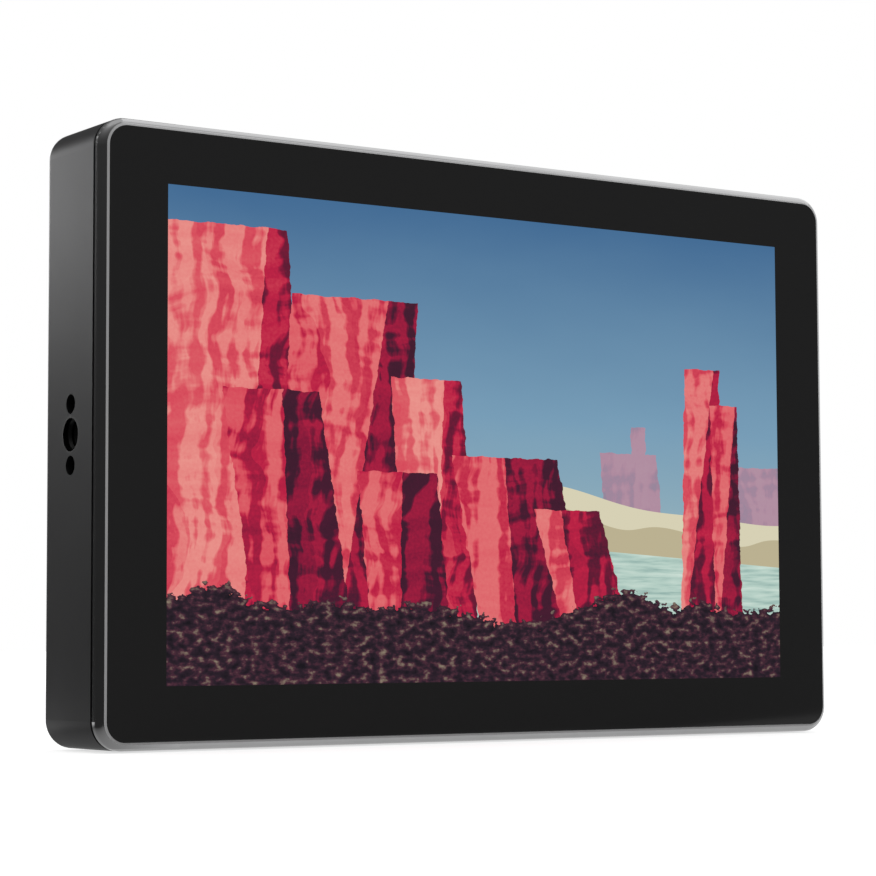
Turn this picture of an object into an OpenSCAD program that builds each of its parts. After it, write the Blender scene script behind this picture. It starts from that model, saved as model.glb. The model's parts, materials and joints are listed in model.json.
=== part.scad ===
// Seven-inch on-camera field monitor: glass-fronted display head in a slim metal housing,
// with two battery plates and recessed connector bays at the back.
// The origin is the mouth of the bottom tripod thread. +X is to the right seen from the
// front, +Y goes back from the glass and +Z is up. All lengths are millimetres.

/* [Display] */
// Width of the picture area
active_w = 150.77; // [140:0.01:190]
// Height of the picture area
active_h = 94.23; // [90:0.01:130]
// Black border of the glass beside the picture
border_side = 12.3; // [11:0.1:20]
// Black border of the glass above and below the picture
border_end = 10.3; // [9.5:0.1:20]
// Thickness of the cover glass
glass_t = 1.1; // [0.7:0.1:1.5]
// Border of the liquid crystal panel beside the picture
panel_side = 3.6; // [3:0.1:4]
// Border of the liquid crystal panel above and below the picture
panel_end = 3.2; // [3:0.1:3.4]
// Thickness of the liquid crystal panel
panel_t = 1.2; // [1:0.1:1.3]
// Thickness of the light guide plate
guide_t = 1.5; // [1:0.1:1.6]

/* [Housing] */
// Depth from the glass front to the back of the housing
body_d = 23.4; // [22.8:0.1:30]
// Width of the metal edge around the glass
rim = 1.6; // [1.4:0.1:2.4]
// Corner radius of the body
corner_r = 5.5; // [4.8:0.1:8]
// Wall thickness of the housing
wall = 1.8; // [1.4:0.1:2]
// Radius of the edge around the housing back
back_edge_r = 1.6; // [0.5:0.1:2.2]
// Depth of the metal edge, from the glass front to the seam
frame_side = 2.8; // [2.6:0.1:3]
// Width of the dark seam between frame and housing
seam_w = 0.7; // [0.5:0.1:0.9]
// Depth of the seam below the side faces
seam_inset = 1; // [0.6:0.1:1.3]
// Width of the polished facet next to the glass
facet_w = 0.5; // [0.3:0.05:0.7]
// Radius that rounds the side of the frame
side_r = 1.8; // [1.7:0.1:2.4]

/* [Threads] */
// Distance of the tripod threads behind the glass front
thread_set = 12.4; // [12:0.1:13]
// Radius of the quarter-inch thread
thread_r = 3.175; // [3:0.005:3.3]
// Depth of each thread
thread_len = 7; // [6:0.1:8]
// Distance between the two locating pin holes
pin_spacing = 11.6; // [11.4:0.1:12.4]
// Radius of a locating pin hole
pin_r = 1.85; // [1.5:0.05:1.9]
// Depth of a locating pin hole
pin_len = 5; // [4:0.1:6]

/* [Connectors] */
// Height of the two connector bays
bay_h = 30; // [28:0.5:32]
// Distance of each bay from the middle of the monitor
bay_start = 10; // [9.6:0.1:11]
// Width of each connector bay
bay_w = 54; // [53:0.5:56]
// Radius of the threaded barrel of a video jack
jack_r = 4.76; // [4.4:0.01:5]
// Radius of the headphone hole
phone_r = 1.8; // [1.75:0.01:2]

/* [Buttons] */
// Radius of a top button
button_r = 3.5; // [3:0.1:4]
// Height of a top button above the housing
button_proud = 0.6; // [0.4:0.1:1]
// Travel of a top button
button_travel = 0.4; // [0.2:0.05:0.6]
// Distance between the two top buttons
button_pitch = 16; // [15:0.5:18]

/* [Battery plates] */
// Width of a battery plate
plate_w = 40; // [38:0.5:42]
// Height of a battery plate
plate_h = 70; // [68:0.5:74]
// Thickness of the base of a battery plate
plate_t = 5; // [4.8:0.1:6]
// Distance between the two plates
plate_gap = 6; // [4:0.5:8]
// Height of the rails above the base
rail_h = 3.8; // [3.4:0.1:5]
// Travel of a battery latch
latch_travel = 1.7; // [1:0.1:1.8]

/* [Fan] */
// Outer size of the square fan
fan_size = 30; // [28:0.5:31]
// Thickness of the fan
fan_t = 7.8; // [7:0.1:7.9]
// Radius of the sweep of the blades
blade_r = 12.4; // [11:0.1:12.8]
// Number of blades
blades = 7; // [5:1:9]

/* [Hidden] */
$fn = 64;

// How far a cutting shape runs past the face that it cuts
past = 1;
// Running clearance of buttons and latches, all round
slip = 0.15;
// Clearance between a flat face and the stop that it rests under
stop_gap = 0.1;
// Radial clearance of a screw in its threaded hole
thread_gap = 0.03;

// Overall sizes
glass_w = active_w + 2 * border_side;
glass_h = active_h + 2 * border_end;
body_w = glass_w + 2 * rim;
body_h = glass_h + 2 * rim;
mid_z = body_h / 2;
glass_y = -thread_set;

// Depths of the display stack behind the glass front
print_t = 0.1;
tape_t = 0.2;
sensor_t = 0.3;
bond_t = 0.2;
film_gap = 0.1;
film_t = 0.5;
reflector_t = 0.15;
tray_t = 0.5;
glass_gap = 0.08;
sensor_d = glass_t + print_t;
shelf_d = sensor_d + tape_t;
panel_d = sensor_d + sensor_t + bond_t;
tray_d = panel_d + panel_t;
film_d = tray_d + film_gap;
guide_d = film_d + film_t;
reflector_d = guide_d + guide_t;
floor_d = reflector_d + reflector_t;
carrier_d = floor_d + tray_t;
carrier_t = 0.8;

// Outline sizes of the display stack
panel_w = active_w + 2 * panel_side;
panel_h = active_h + 2 * panel_end;
panel_gap = 0.5;
sensor_margin = 2.8;
led_h = 1;
light_gap = 0.2;
guide_w = panel_w - 2 * tray_t - 2 * light_gap;
guide_h = panel_h - 2 * tray_t - 3 * light_gap - led_h;
led_z = panel_h / 2 - tray_t - light_gap - led_h;
led_count = 24;

// Frame and housing
facet_d = 0.35;
tongue_t = 1.6;
tongue_d = 6.4;
tongue_inset = wall + slip;
housing_d = frame_side + seam_w;
inside_d = body_d - wall;
top_z = body_h / 2;
inner_x = body_w / 2 - wall;
inner_z = body_h / 2 - wall;

// Screws
screw_r = 1;
head_r = 1.9;
head_h = 1.2;
head_gap = 0.2;
through_gap = 0.2;
head_sink = 1.8;
boss_r = 2.4;
post_r = 3;
boss_end = 9;
boss_bite = 4.5;
post_side_gap = 6.3;
post_end_gap = 5;
post_pitch = 55;
corner_post_x = body_w / 2 - post_side_gap;
post_z = body_h / 2 - post_end_gap;
middle_post_x = corner_post_x - post_pitch;
CASE_POSTS = [
    for (sx = [-1, 1], sz = [-1, 1]) [sx * corner_post_x, sz * post_z],
    for (sx = [-1, 1]) [sx * middle_post_x, post_z]
];
pad_r = 2;
pad_z = 32;
carrier_w = body_w - 10.6;
carrier_h = panel_h - 0.6;
pad_x = panel_w / 2 + 3.2;
CARRIER_PADS = [for (sx = [-1, 1], sz = [-1, 1]) [sx * pad_x, sz * pad_z]];

// Main board, seen from the front and measured from the middle of the body
standoff_h = 3.8;
standoff_r = 2.2;
board_t = 1.6;
board_d = carrier_d + carrier_t + standoff_h;
board_back = board_d + board_t;
board_side_gap = 10.3;
board_low_gap = 2.2;
board_top_gap = 4.33;
board_w = body_w - 2 * board_side_gap;
board_low = bay_h + wall + board_low_gap - body_h / 2;
board_high = panel_h / 2 - board_top_gap;
notch_gap = 0.5;
low_standoff = 15;
high_standoff = 3;
low_standoff_end = 11;
low_standoff_x = board_w / 2 - low_standoff_end;
high_standoff_x = 30;
STANDOFFS = [
    for (sx = [-1, 1]) [sx * low_standoff_x, board_low + low_standoff],
    for (sx = [-1, 1]) [sx * high_standoff_x, board_high - high_standoff]
];

// Chips and the shielded radio part on the back of the main board
chip_t = 1.7;
low_chip_t = 1.1;
processor_w = 21;
memory_w = 9;
memory_h = 11;
memory_x = 18;
memory_z = 7;
supply_w = 7;
supply_x = 12;
supply_gap = 5;
input_w = 10;
input_h = 8;
input_end_gap = 4;
input_x = board_w / 2 - input_end_gap - input_w / 2;
input_low_gap = 18;
input_z = board_low + input_low_gap + input_h / 2;
can_w = 14;
can_h = 20;
can_t = 2.2;
can_x = 50;
can_low_gap = 14;
can_z = board_low + can_low_gap + can_h / 2;

// Threads
insert_wall = 0.42;
insert_r = thread_r + insert_wall;
boss_side = 1.2;
boss_bottom = 1.5;
boss_skin = 1.6;
carrier_gap = 0.95;
boss_half = pin_spacing / 2 + pin_r + boss_side;
boss_deep = thread_len + boss_bottom;
boss_front = carrier_d + carrier_t + carrier_gap;
boss_back = thread_set + insert_r + boss_skin;

// Connector bays and what stands in them
bay_wall = 1.2;
bay_front = boss_front;
bay_d = bay_front + bay_wall;
bay_z = bay_h - body_h / 2;
bay_end = bay_start + bay_w;
bay_roof = bay_z + wall;
jack_room = 7.5;
jack_d = bay_d + jack_room;
jack_len = 12;
jack_half = 5.5;
jack_block_h = 11;
jack_back_gap = 0.6;
nut_flat = 6.35;
nut_r = nut_flat / cos(30);
nut_h = 2;
port_gap = 0.25;
hdmi_w = 15;
hdmi_t = 5.8;
hdmi_len = 12.5;
hdmi_shell = 0.5;
hdmi_proud = 1;
power_r = 4.4;
power_half = 5.2;
power_len = 5;
phone_nose_r = 3;
phone_half = 3.6;
phone_block_h = 14;
phone_proud = 0.5;

// The connectors share the width of their bay with equal gaps
left_space = (bay_w - 4 * nut_r - 2 * phone_half) / 4;
right_space = (bay_w - 2 * hdmi_w - 2 * power_half) / 4;
sdi_in_x = -bay_start - left_space - nut_r;
sdi_out_x = sdi_in_x - left_space - 2 * nut_r;
phone_x = sdi_out_x - nut_r - left_space - phone_half;
hdmi_in_x = bay_start + right_space + hdmi_w / 2;
hdmi_out_x = hdmi_in_x + right_space + hdmi_w;
power_x = hdmi_out_x + hdmi_w / 2 + right_space + power_half;

// The supply chips stand above the flat sockets
supply_z = bay_z - hdmi_proud + hdmi_len + supply_gap + supply_w / 2;

// Ports in the right-hand wall: the data port lies midway below the side thread
usb_z = (board_low - boss_half) / 2;
usb_w = 9;
usb_t = 3.2;
usb_len = 13;
card_w = 28;
card_t = 3;
card_len = 27;
card_top_gap = 3;
card_z = board_high - card_w / 2 - card_top_gap;
port_inset = 0.4;
card_slot_w = 25;
card_slot_t = 2.6;

// Buttons
button_post_gap = 26;
button_x = middle_post_x + button_post_gap;
button_d = thread_set;
flange_w = 1.1;
flange_t = 0.8;
plunger_r = 1.6;
switch_gap = button_travel + 0.6;
switch_size = 6;
switch_t = 3.1;
BUTTON_XS = [button_x + button_pitch / 2, button_x - button_pitch / 2];
flange_top = inner_z - stop_gap;
flange_low = flange_top - flange_t;
switch_top = flange_low - switch_gap;
switch_low = switch_top - switch_t;
button_board_t = 1.2;
button_board_end = 12;
button_board_w = button_pitch + 2 * button_board_end;
button_board_l = 9;
button_post_end = 2.5;
button_post_x = button_board_w / 2 - button_post_end;
button_post_hole = 4;
small_screw_r = 0.8;
light_r = 1;

// Heat sink and fan
pad_t = 0.6;
sink_w = 76;
sink_h = 40;
sink_top_gap = 9;
sink_z = board_high - sink_h / 2 - sink_top_gap;
sink_base = 1.5;
fin_pitch = 4;
fin_t = 1;
fin_end_gap = 0.7;
pad_d = board_back + chip_t;
sink_d = pad_d + pad_t;
sink_top = inside_d - fin_end_gap;
SINK_SCREWS = [for (sx = [-1, 1], sz = [-1, 1]) [sx * (sink_w / 2 - 4), sink_z + sz * (sink_h / 2 - 4)]];
fan_x = -64;
fan_top_gap = 4;
fan_z = board_high - fan_size / 2 - fan_top_gap;
fan_d = inside_d - fan_t - stop_gap;
fan_bore = blade_r + 0.6;
fan_base_t = 1;
fan_shaft_r = 1;
fan_shaft_gap = 0.05;
hub_r = 5.6;
blade_t = 0.8;
blade_pitch = 35;
FAN_SCREWS = [for (s = [-1, 1]) [fan_x + s * (fan_size / 2 - 2.6), fan_z + s * (fan_size / 2 - 2.6)]];
slot_w = 2;
slot_pitch = 4;
vent_x = -fan_x;
vent_h = 26;

// Battery plates: the contacts lie midway between the jacks and the heat sink
contact_z = (bay_roof + stop_gap + jack_block_h + sink_z - sink_h / 2) / 2;
contact_end = 11.4;
contact_pitch = 4;
contact_w = 0.9;
contact_h = 3.9;
contact_proud = 2;
plate_x = (plate_w + plate_gap) / 2;
plate_z = contact_z - contact_end + plate_h / 2;
plate_back = body_d + plate_t;
rail_w = 3;
rail_top = plate_back + rail_h;
lip_w = 1.4;
lip_t = 1.2;
lip_l = 12;
LIPS = [-18, 14];
stop_t = 2.5;
latch_w = 11;
latch_h = 15;
latch_flange = 1;
latch_lip = plate_t - latch_flange - latch_travel - 3 * stop_gap;
latch_end = 8.5;
hook_h = 1.4;
spring_r = 2.2;
spring_wire = 0.5;
spring_pocket = 2.4;
latch_z = plate_z + plate_h / 2 - latch_end - latch_h / 2;
latch_seat = plate_back - latch_lip - stop_gap;
PLATE_SCREWS = [for (sx = [-1, 1], sz = [-1, 1]) [sx * (plate_w / 2 - 7), sz * (plate_h / 2 - 6)]];
lead_r = 0.6;
lead_pitch = 2.4;
lead_hole_r = 2.4;

// ---------------------------------------------------------------- shared shapes

// Rectangle between two corners
module area(x0, y0, x1, y1) translate([x0, y0]) square([x1 - x0, y1 - y0]);

// Rectangle about a centre
module patch(x, y, w, h) translate([x, y]) square([w, h], center = true);

// Rectangle about the origin with round corners
module rounded(w, h, r) {
    square([w - 2 * r, h], center = true);
    square([w, h - 2 * r], center = true);
    for (sx = [-1, 1], sy = [-1, 1])
        translate([sx * (w / 2 - r), sy * (h / 2 - r)]) circle(r);
}

// Flat shape in X and height, standing between two depths behind the glass front
module slab(d0, d1)
    translate([0, glass_y + d1, mid_z]) rotate([90, 0, 0]) linear_extrude(d1 - d0) children();

// Flat shape in X and depth, lying between two heights from mid height
module layer(z0, z1)
    translate([0, glass_y, mid_z + z0]) linear_extrude(z1 - z0) children();

// Flat shape in depth and height, standing between two distances from the middle
module across(x0, x1)
    translate([x0, glass_y, mid_z]) rotate([90, 0, 90]) linear_extrude(x1 - x0) children();

// Profile carried once around the body's edge: its x runs outwards from the corner centre
// and its y is the depth behind the glass front
module around_edge() {
    translate([0, glass_y, mid_z]) rotate([-90, 0, 0])
        for (i = [0:3]) {
            a = (i % 2 == 0 ? body_w : body_h) / 2 - corner_r;
            b = (i % 2 == 0 ? body_h : body_w) / 2 - corner_r;
            rotate([0, 0, 90 * i]) translate([a, b, 0]) {
                rotate_extrude(angle = 90) children();
                rotate([90, 0, 0]) linear_extrude(2 * b) children();
            }
        }
}

// Body outline, drawn in by an inset
module outline(inset) rounded(body_w - 2 * inset, body_h - 2 * inset, corner_r - inset);

// Socket screw along the depth, with its head beyond seat and its end at tip
module depth_screw(x, z, seat, tip, r = screw_r) {
    out = seat > tip ? 1 : -1;
    top = seat + out * head_h;
    dip = top - out * head_h * 0.6;
    difference() {
        union() {
            slab(min(seat, top), max(seat, top)) translate([x, z]) circle(r + head_r - screw_r);
            slab(min(seat, tip), max(seat, tip)) translate([x, z]) circle(r);
        }
        slab(min(dip, top + out * past), max(dip, top + out * past))
            translate([x, z]) circle(r * 0.9, $fn = 6);
    }
}

// ---------------------------------------------------------------- display

module cover_glass() color([0.05, 0.05, 0.06])
    slab(0, glass_t) outline(rim + glass_gap);

module border_print() color([0.02, 0.02, 0.02])
    slab(glass_t, sensor_d) difference() {
        outline(rim + glass_gap);
        square([active_w, active_h], center = true);
    }

module glass_tape() color("black")
    slab(sensor_d, shelf_d) difference() {
        outline(rim + 0.3);
        square([panel_w + 2 * panel_gap + 0.6, panel_h + 2 * panel_gap + 0.6], center = true);
    }

module sensor_area() square([active_w + 2 * sensor_margin, active_h + 2 * sensor_margin], center = true);

module touch_sensor() color([0.6, 0.7, 0.7])
    slab(sensor_d, sensor_d + sensor_t) sensor_area();

module optical_bond() color([0.8, 0.85, 0.9])
    slab(sensor_d + sensor_t, panel_d) sensor_area();

module lcd_panel() color("steelblue")
    slab(panel_d, tray_d) square([panel_w, panel_h], center = true);

module guide_area() {
    low = -panel_h / 2 + tray_t + light_gap;
    area(-guide_w / 2, low, guide_w / 2, low + guide_h);
}

module diffuser_stack() color("white") slab(film_d, guide_d) guide_area();

module light_guide() color([0.85, 0.95, 0.95]) slab(guide_d, reflector_d) guide_area();

module reflector_sheet() color("silver") slab(reflector_d, floor_d) guide_area();

module led_strip() color("gold") {
    slab(guide_d, reflector_d) area(-guide_w / 2, led_z, guide_w / 2, led_z + led_h);
    pitch = guide_w / led_count;
    slab(guide_d + 0.3, reflector_d - 0.3)
        for (i = [0:led_count - 1])
            patch(pitch * (i + 0.5) - guide_w / 2, led_z, pitch / 2, 2 * light_gap);
}

// Shallow metal tray behind the light guide, with a notch for the light strip's tail
module backlight_tray() color("lightgray") difference() {
    slab(tray_d, carrier_d) square([panel_w, panel_h], center = true);
    slab(tray_d - past, floor_d) square([panel_w - 2 * tray_t, panel_h - 2 * tray_t], center = true);
    slab(tray_d - past, floor_d) patch(light_flex_x, panel_h / 2, flex_w + 1, 4 * tray_t);
}

// ---------------------------------------------------------------- ribbon cables

flex_t = 0.15;
flex_w = 8;
display_flex_w = 26;
touch_flex_x = -42;
light_flex_x = 19;
flex_top = panel_h / 2 + panel_gap - flex_t;
flex_back = board_d - 0.65;
flex_low = board_high - 2.2;

// Ribbon that leaves its part at depth d, crosses over the tray and drops to the main board
module ribbon(x, w, d, z) across(x - w / 2, x + w / 2) {
    area(d, z, d + flex_t, flex_top);
    area(d, flex_top - flex_t, flex_back, flex_top);
    area(flex_back - flex_t, flex_low, flex_back, flex_top);
    area(flex_back - flex_t, flex_low, board_d, flex_low + flex_t);
}

module display_flex() color("darkorange")
    ribbon(0, display_flex_w, panel_d + panel_t / 2, panel_h / 2);

module touch_flex() color("darkorange")
    ribbon(touch_flex_x, flex_w, sensor_d + flex_t / 2, active_h / 2 + sensor_margin);

module backlight_flex() color("darkorange")
    ribbon(light_flex_x, flex_w, guide_d + flex_t, led_z + led_h);

// Sockets on the front of the main board that take the ribbons
module flex_sockets() color("ivory")
    slab(board_d - 0.5, board_d)
        for (s = [[0, display_flex_w], [touch_flex_x, flex_w], [light_flex_x, flex_w]])
            patch(s[0], flex_low - 1, s[1] + 1, 2);

// ---------------------------------------------------------------- frame

// Section of the metal edge: polished facet by the glass, then a round side
module frame_edge() {
    glass_x = corner_r - rim;
    start = acos((facet_w - rim + side_r) / side_r);
    steps = 8;
    side_d = facet_d + side_r * sin(start);
    polygon(concat(
        [[glass_x, 0]],
        [for (i = [0:steps]) let (a = start * (1 - i / steps))
            [corner_r - side_r + side_r * cos(a), side_d - side_r * sin(a)]],
        [[corner_r, frame_side], [glass_x, frame_side]]
    ));
}

module front_frame() color([0.3, 0.3, 0.31]) difference() {
    union() {
        around_edge() frame_edge();
        slab(shelf_d, frame_side) difference() {
            outline(rim / 2);
            square([panel_w + 2 * panel_gap, panel_h + 2 * panel_gap], center = true);
        }
        slab(frame_side, tongue_d) difference() {
            outline(tongue_inset);
            outline(tongue_inset + tongue_t);
        }
        slab(frame_side, boss_end) for (p = CASE_POSTS) translate(p) circle(boss_r);
        slab(frame_side, carrier_d) for (p = CARRIER_PADS) translate(p) circle(pad_r);
    }
    slab(boss_end - boss_bite, boss_end + past)
        for (p = CASE_POSTS) translate(p) circle(screw_r + thread_gap);
    slab(frame_side - 0.4, carrier_d + past)
        for (p = CARRIER_PADS) translate(p) circle(small_screw_r + thread_gap);
}

// Dark rubber ring that fills the seam between frame and housing
module seam_gasket() color([0.08, 0.08, 0.08])
    slab(frame_side, housing_d) difference() {
        outline(seam_inset);
        outline(tongue_inset);
    }

// Plate that holds the display stack in the frame and carries the main board
module display_carrier() color("silver") difference() {
    union() {
        slab(carrier_d, carrier_d + carrier_t) square([carrier_w, carrier_h], center = true);
        slab(carrier_d, board_d) for (p = STANDOFFS) translate(p) circle(standoff_r);
    }
    slab(carrier_d - past, carrier_d + carrier_t + past)
        for (p = CARRIER_PADS) translate(p) circle(small_screw_r + through_gap);
    slab(carrier_d + carrier_t, board_d + past)
        for (p = STANDOFFS) translate(p) circle(screw_r + thread_gap);
}

module carrier_screws() color("gainsboro")
    for (p = CARRIER_PADS)
        depth_screw(p[0], p[1], carrier_d + carrier_t, frame_side, small_screw_r);

// ---------------------------------------------------------------- housing

// Section of the housing's outside, with the rounded edge around its back
module housing_edge() translate([0, housing_d]) {
    deep = body_d - housing_d;
    square([corner_r, deep - back_edge_r]);
    square([corner_r - back_edge_r, deep]);
    translate([corner_r - back_edge_r, deep - back_edge_r]) circle(back_edge_r);
}

module housing_shell() difference() {
    union() {
        around_edge() housing_edge();
        slab(housing_d, body_d) square([body_w - 2 * corner_r, body_h - 2 * corner_r], center = true);
    }
    slab(housing_d - past, inside_d) outline(wall);
}

// Everything cut for one tripod thread, in X and height with the mouth at the origin
module side_thread(side) {
    mouth = side * body_w / 2;
    deep = side * (body_w / 2 - thread_len);
    pin_end = side * (body_w / 2 - pin_len);
    across(min(mouth + side * past, deep), max(mouth + side * past, deep))
        translate([thread_set, 0]) circle(insert_r);
    across(min(mouth + side * past, pin_end), max(mouth + side * past, pin_end))
        for (s = [-1, 1]) translate([thread_set, s * pin_spacing / 2]) circle(pin_r);
}

module bottom_thread() {
    layer(-body_h / 2 - past, thread_len - body_h / 2) translate([0, thread_set]) circle(insert_r);
    layer(-body_h / 2 - past, pin_len - body_h / 2)
        for (s = [-1, 1]) translate([s * pin_spacing / 2, thread_set]) circle(pin_r);
}

// Walls of one connector bay
module bay_walls(side) {
    x0 = side * bay_start - (side > 0 ? bay_wall : bay_w + bay_wall);
    slab(bay_front, inside_d + wall / 2) area(x0, wall / 2 - body_h / 2, x0 + bay_w + 2 * bay_wall, bay_roof);
}

module bay_space(side) {
    x0 = side > 0 ? bay_start : -bay_end;
    slab(bay_d, body_d + past) area(x0, -body_h / 2 - past, x0 + bay_w, bay_z);
}

// Holes in the bay roofs and in the right-hand wall for the connectors
module port_holes() {
    layer(bay_z - past, bay_roof + past) {
        for (x = [sdi_in_x, sdi_out_x]) translate([x, jack_d]) circle(jack_r + port_gap);
        translate([power_x, jack_d]) circle(power_r + port_gap);
        translate([phone_x, jack_d]) circle(phone_nose_r + port_gap);
        for (x = [hdmi_in_x, hdmi_out_x])
            patch(x, board_back + hdmi_t / 2, hdmi_w + 2 * port_gap, hdmi_t + 2 * port_gap);
    }
    across(inner_x - past, body_w / 2 + past) {
        patch(board_back + usb_t / 2, usb_z, usb_t + 2 * port_gap, usb_w + 2 * port_gap);
        patch(board_back + card_t / 2, card_z, card_slot_t + 2 * port_gap, card_slot_w + 2 * port_gap);
    }
}

// Upright slots through the back wall, inside a round or a square field
module vent_slots(x, z, w, h) {
    count = floor(w / slot_pitch);
    for (i = [0:count - 1]) {
        off = (i - (count - 1) / 2) * slot_pitch;
        patch(x + off, z, slot_w, h - slot_w);
        for (s = [-1, 1]) translate([x + off, z + s * (h - slot_w) / 2]) circle(slot_w / 2);
    }
}

module rear_housing() color([0.32, 0.33, 0.34]) difference() {
    union() {
        housing_shell();
        for (side = [-1, 1]) {
            bay_walls(side);
            across(side > 0 ? body_w / 2 - boss_deep : wall / 2 - body_w / 2,
                   side > 0 ? body_w / 2 - wall / 2 : boss_deep - body_w / 2)
                area(boss_front, -boss_half, boss_back, boss_half);
        }
        slab(boss_front, boss_back)
            area(-boss_half, wall / 2 - body_h / 2, boss_half, boss_deep - body_h / 2);
        slab(boss_end + stop_gap, inside_d + wall / 2) for (p = CASE_POSTS) translate(p) circle(post_r);
        layer(switch_low, inner_z + wall / 2)
            for (s = [-1, 1]) translate([button_x + s * button_post_x, button_d]) circle(boss_r - 0.4);
    }
    for (side = [-1, 1]) {
        side_thread(side);
        bay_space(side);
    }
    bottom_thread();
    port_holes();
    slab(boss_end, body_d + past) for (p = CASE_POSTS) translate(p) circle(screw_r + through_gap);
    slab(body_d - head_sink, body_d + past) for (p = CASE_POSTS) translate(p) circle(head_r + head_gap);
    layer(inner_z - past, top_z + past) {
        for (x = BUTTON_XS) translate([x, button_d]) circle(button_r + slip);
        translate([button_x, button_d]) circle(light_r + slip / 2);
    }
    layer(switch_low - past, switch_low + button_post_hole)
        for (s = [-1, 1]) translate([button_x + s * button_post_x, button_d]) circle(small_screw_r + thread_gap);
    slab(inside_d - past, body_d + past) {
        vent_slots(fan_x, fan_z, fan_size - 4, fan_size - 6);
        vent_slots(vent_x, fan_z, fan_size - 4, vent_h);
    }
    slab(inside_d - past, body_d - 0.4)
        for (p = FAN_SCREWS) translate(p) circle(small_screw_r + thread_gap);
    for (side = [-1, 1]) {
        slab(inside_d - past, body_d + past) {
            translate([side * plate_x, contact_z]) circle(lead_hole_r);
            for (p = PLATE_SCREWS)
                translate([side * plate_x + p[0], plate_z + p[1]]) circle(screw_r + thread_gap);
        }
    }
}

// Threaded steel sleeve, as a ring in its own plane
module sleeve() difference() {
    circle(insert_r);
    circle(thread_r);
}

module left_thread_insert() color("dimgray")
    across(-body_w / 2, thread_len - body_w / 2) translate([thread_set, 0]) sleeve();

module right_thread_insert() color("dimgray")
    across(body_w / 2 - thread_len, body_w / 2) translate([thread_set, 0]) sleeve();

module bottom_thread_insert() color("dimgray")
    layer(-body_h / 2, thread_len - body_h / 2) translate([0, thread_set]) sleeve();

module case_screws() color("black")
    for (p = CASE_POSTS) depth_screw(p[0], p[1], body_d - head_sink, boss_end - boss_bite + 0.5);

// ---------------------------------------------------------------- electronics

module main_board() color("darkgreen") difference() {
    slab(board_d, board_back) area(-board_w / 2, board_low, board_w / 2, board_high);
    slab(board_d - past, board_back + past) {
        for (p = STANDOFFS) translate(p) circle(screw_r + through_gap);
        for (p = SINK_SCREWS) translate(p) circle(small_screw_r + thread_gap);
        area(-board_w / 2 - past, fan_z - fan_size / 2 - notch_gap,
             fan_x + fan_size / 2 + notch_gap, board_high + past);
    }
}

module board_screws() color("gainsboro")
    for (p = STANDOFFS) depth_screw(p[0], p[1], board_back, board_d - 0.8 * standoff_h);

// Picture processor in the middle, with its memory and the power and input chips around it
module board_chips() color([0.12, 0.12, 0.13]) {
    slab(board_back, pad_d) patch(0, sink_z, processor_w, processor_w);
    slab(board_back, board_back + low_chip_t) {
        for (sx = [-1, 1], sz = [-1, 1])
            patch(sx * memory_x, sink_z + sz * memory_z, memory_w, memory_h);
        for (sx = [-1, 1]) patch(sx * supply_x, supply_z, supply_w, supply_w);
        patch(input_x, input_z, input_w, input_h);
    }
}

module shield_can() color("silver")
    slab(board_back, board_back + can_t) patch(can_x, can_z, can_w, can_h);

module thermal_pad() color("lightpink")
    slab(pad_d, sink_d) patch(0, sink_z, processor_w, processor_w);

module heat_sink() color("slategray") difference() {
    union() {
        slab(sink_d, sink_d + sink_base) patch(0, sink_z, sink_w, sink_h);
        fins = floor(sink_h / fin_pitch);
        slab(sink_d, sink_top)
            for (i = [0:fins]) patch(0, sink_z - sink_h / 2 + fin_t / 2 + i * (sink_h - fin_t) / fins, sink_w, fin_t);
    }
    slab(sink_d + sink_base, sink_top + past)
        for (p = SINK_SCREWS) translate(p) circle(head_r + 0.6);
    slab(sink_d - past, sink_top + past)
        for (p = SINK_SCREWS) translate(p) circle(small_screw_r + through_gap);
}

module heat_sink_screws() color("gainsboro")
    for (p = SINK_SCREWS) depth_screw(p[0], p[1], sink_d + sink_base, board_d, small_screw_r);

// ---------------------------------------------------------------- fan

module fan_frame() color([0.15, 0.15, 0.16]) difference() {
    slab(fan_d, fan_d + fan_t) patch(fan_x, fan_z, fan_size, fan_size);
    slab(fan_d + fan_base_t, fan_d + fan_t + past) difference() {
        translate([fan_x, fan_z]) circle(fan_bore);
        translate([fan_x, fan_z]) circle(fan_shaft_r);
    }
    slab(fan_d - past, fan_d + fan_base_t + past) difference() {
        translate([fan_x, fan_z]) circle(fan_bore - 1);
        translate([fan_x, fan_z]) circle(hub_r);
        for (a = [45, 135]) translate([fan_x, fan_z]) rotate(a) square([fan_size, 3], center = true);
    }
    slab(fan_d - past, fan_d + fan_t + past)
        for (p = FAN_SCREWS) translate(p) circle(small_screw_r + through_gap);
    slab(fan_d + fan_t - 1, fan_d + fan_t + past) translate([fan_x, fan_z]) circle(fan_shaft_r + 0.2);
}

// Hub with pitched blades, turning on the shaft of the frame
module fan_rotor() color("black") {
    low = fan_d + fan_base_t + 0.4;
    high = fan_d + fan_t - 1.4;
    slab(low, high) translate([fan_x, fan_z]) difference() {
        circle(hub_r);
        circle(fan_shaft_r + fan_shaft_gap);
    }
    reach = blade_r - hub_r + 0.6;
    chord = (high - low) * 0.86;
    for (i = [0:blades - 1])
        translate([fan_x, glass_y + (low + high) / 2, mid_z + fan_z])
            rotate([0, i * 360 / blades, 0])
                translate([hub_r - 0.6 + reach / 2, 0, 0])
                    rotate([blade_pitch, 0, 0])
                        cube([reach, chord, blade_t], center = true);
}

module fan_screws() color("gainsboro")
    for (p = FAN_SCREWS) depth_screw(p[0], p[1], fan_d, body_d - 0.8, small_screw_r);

// ---------------------------------------------------------------- connectors

// Square body on the main board that a round connector stands on
module jack_block(x, half, h)
    layer(bay_roof + stop_gap, bay_roof + stop_gap + h)
        area(x - half, board_back, x + half, inside_d - jack_back_gap);

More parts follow.
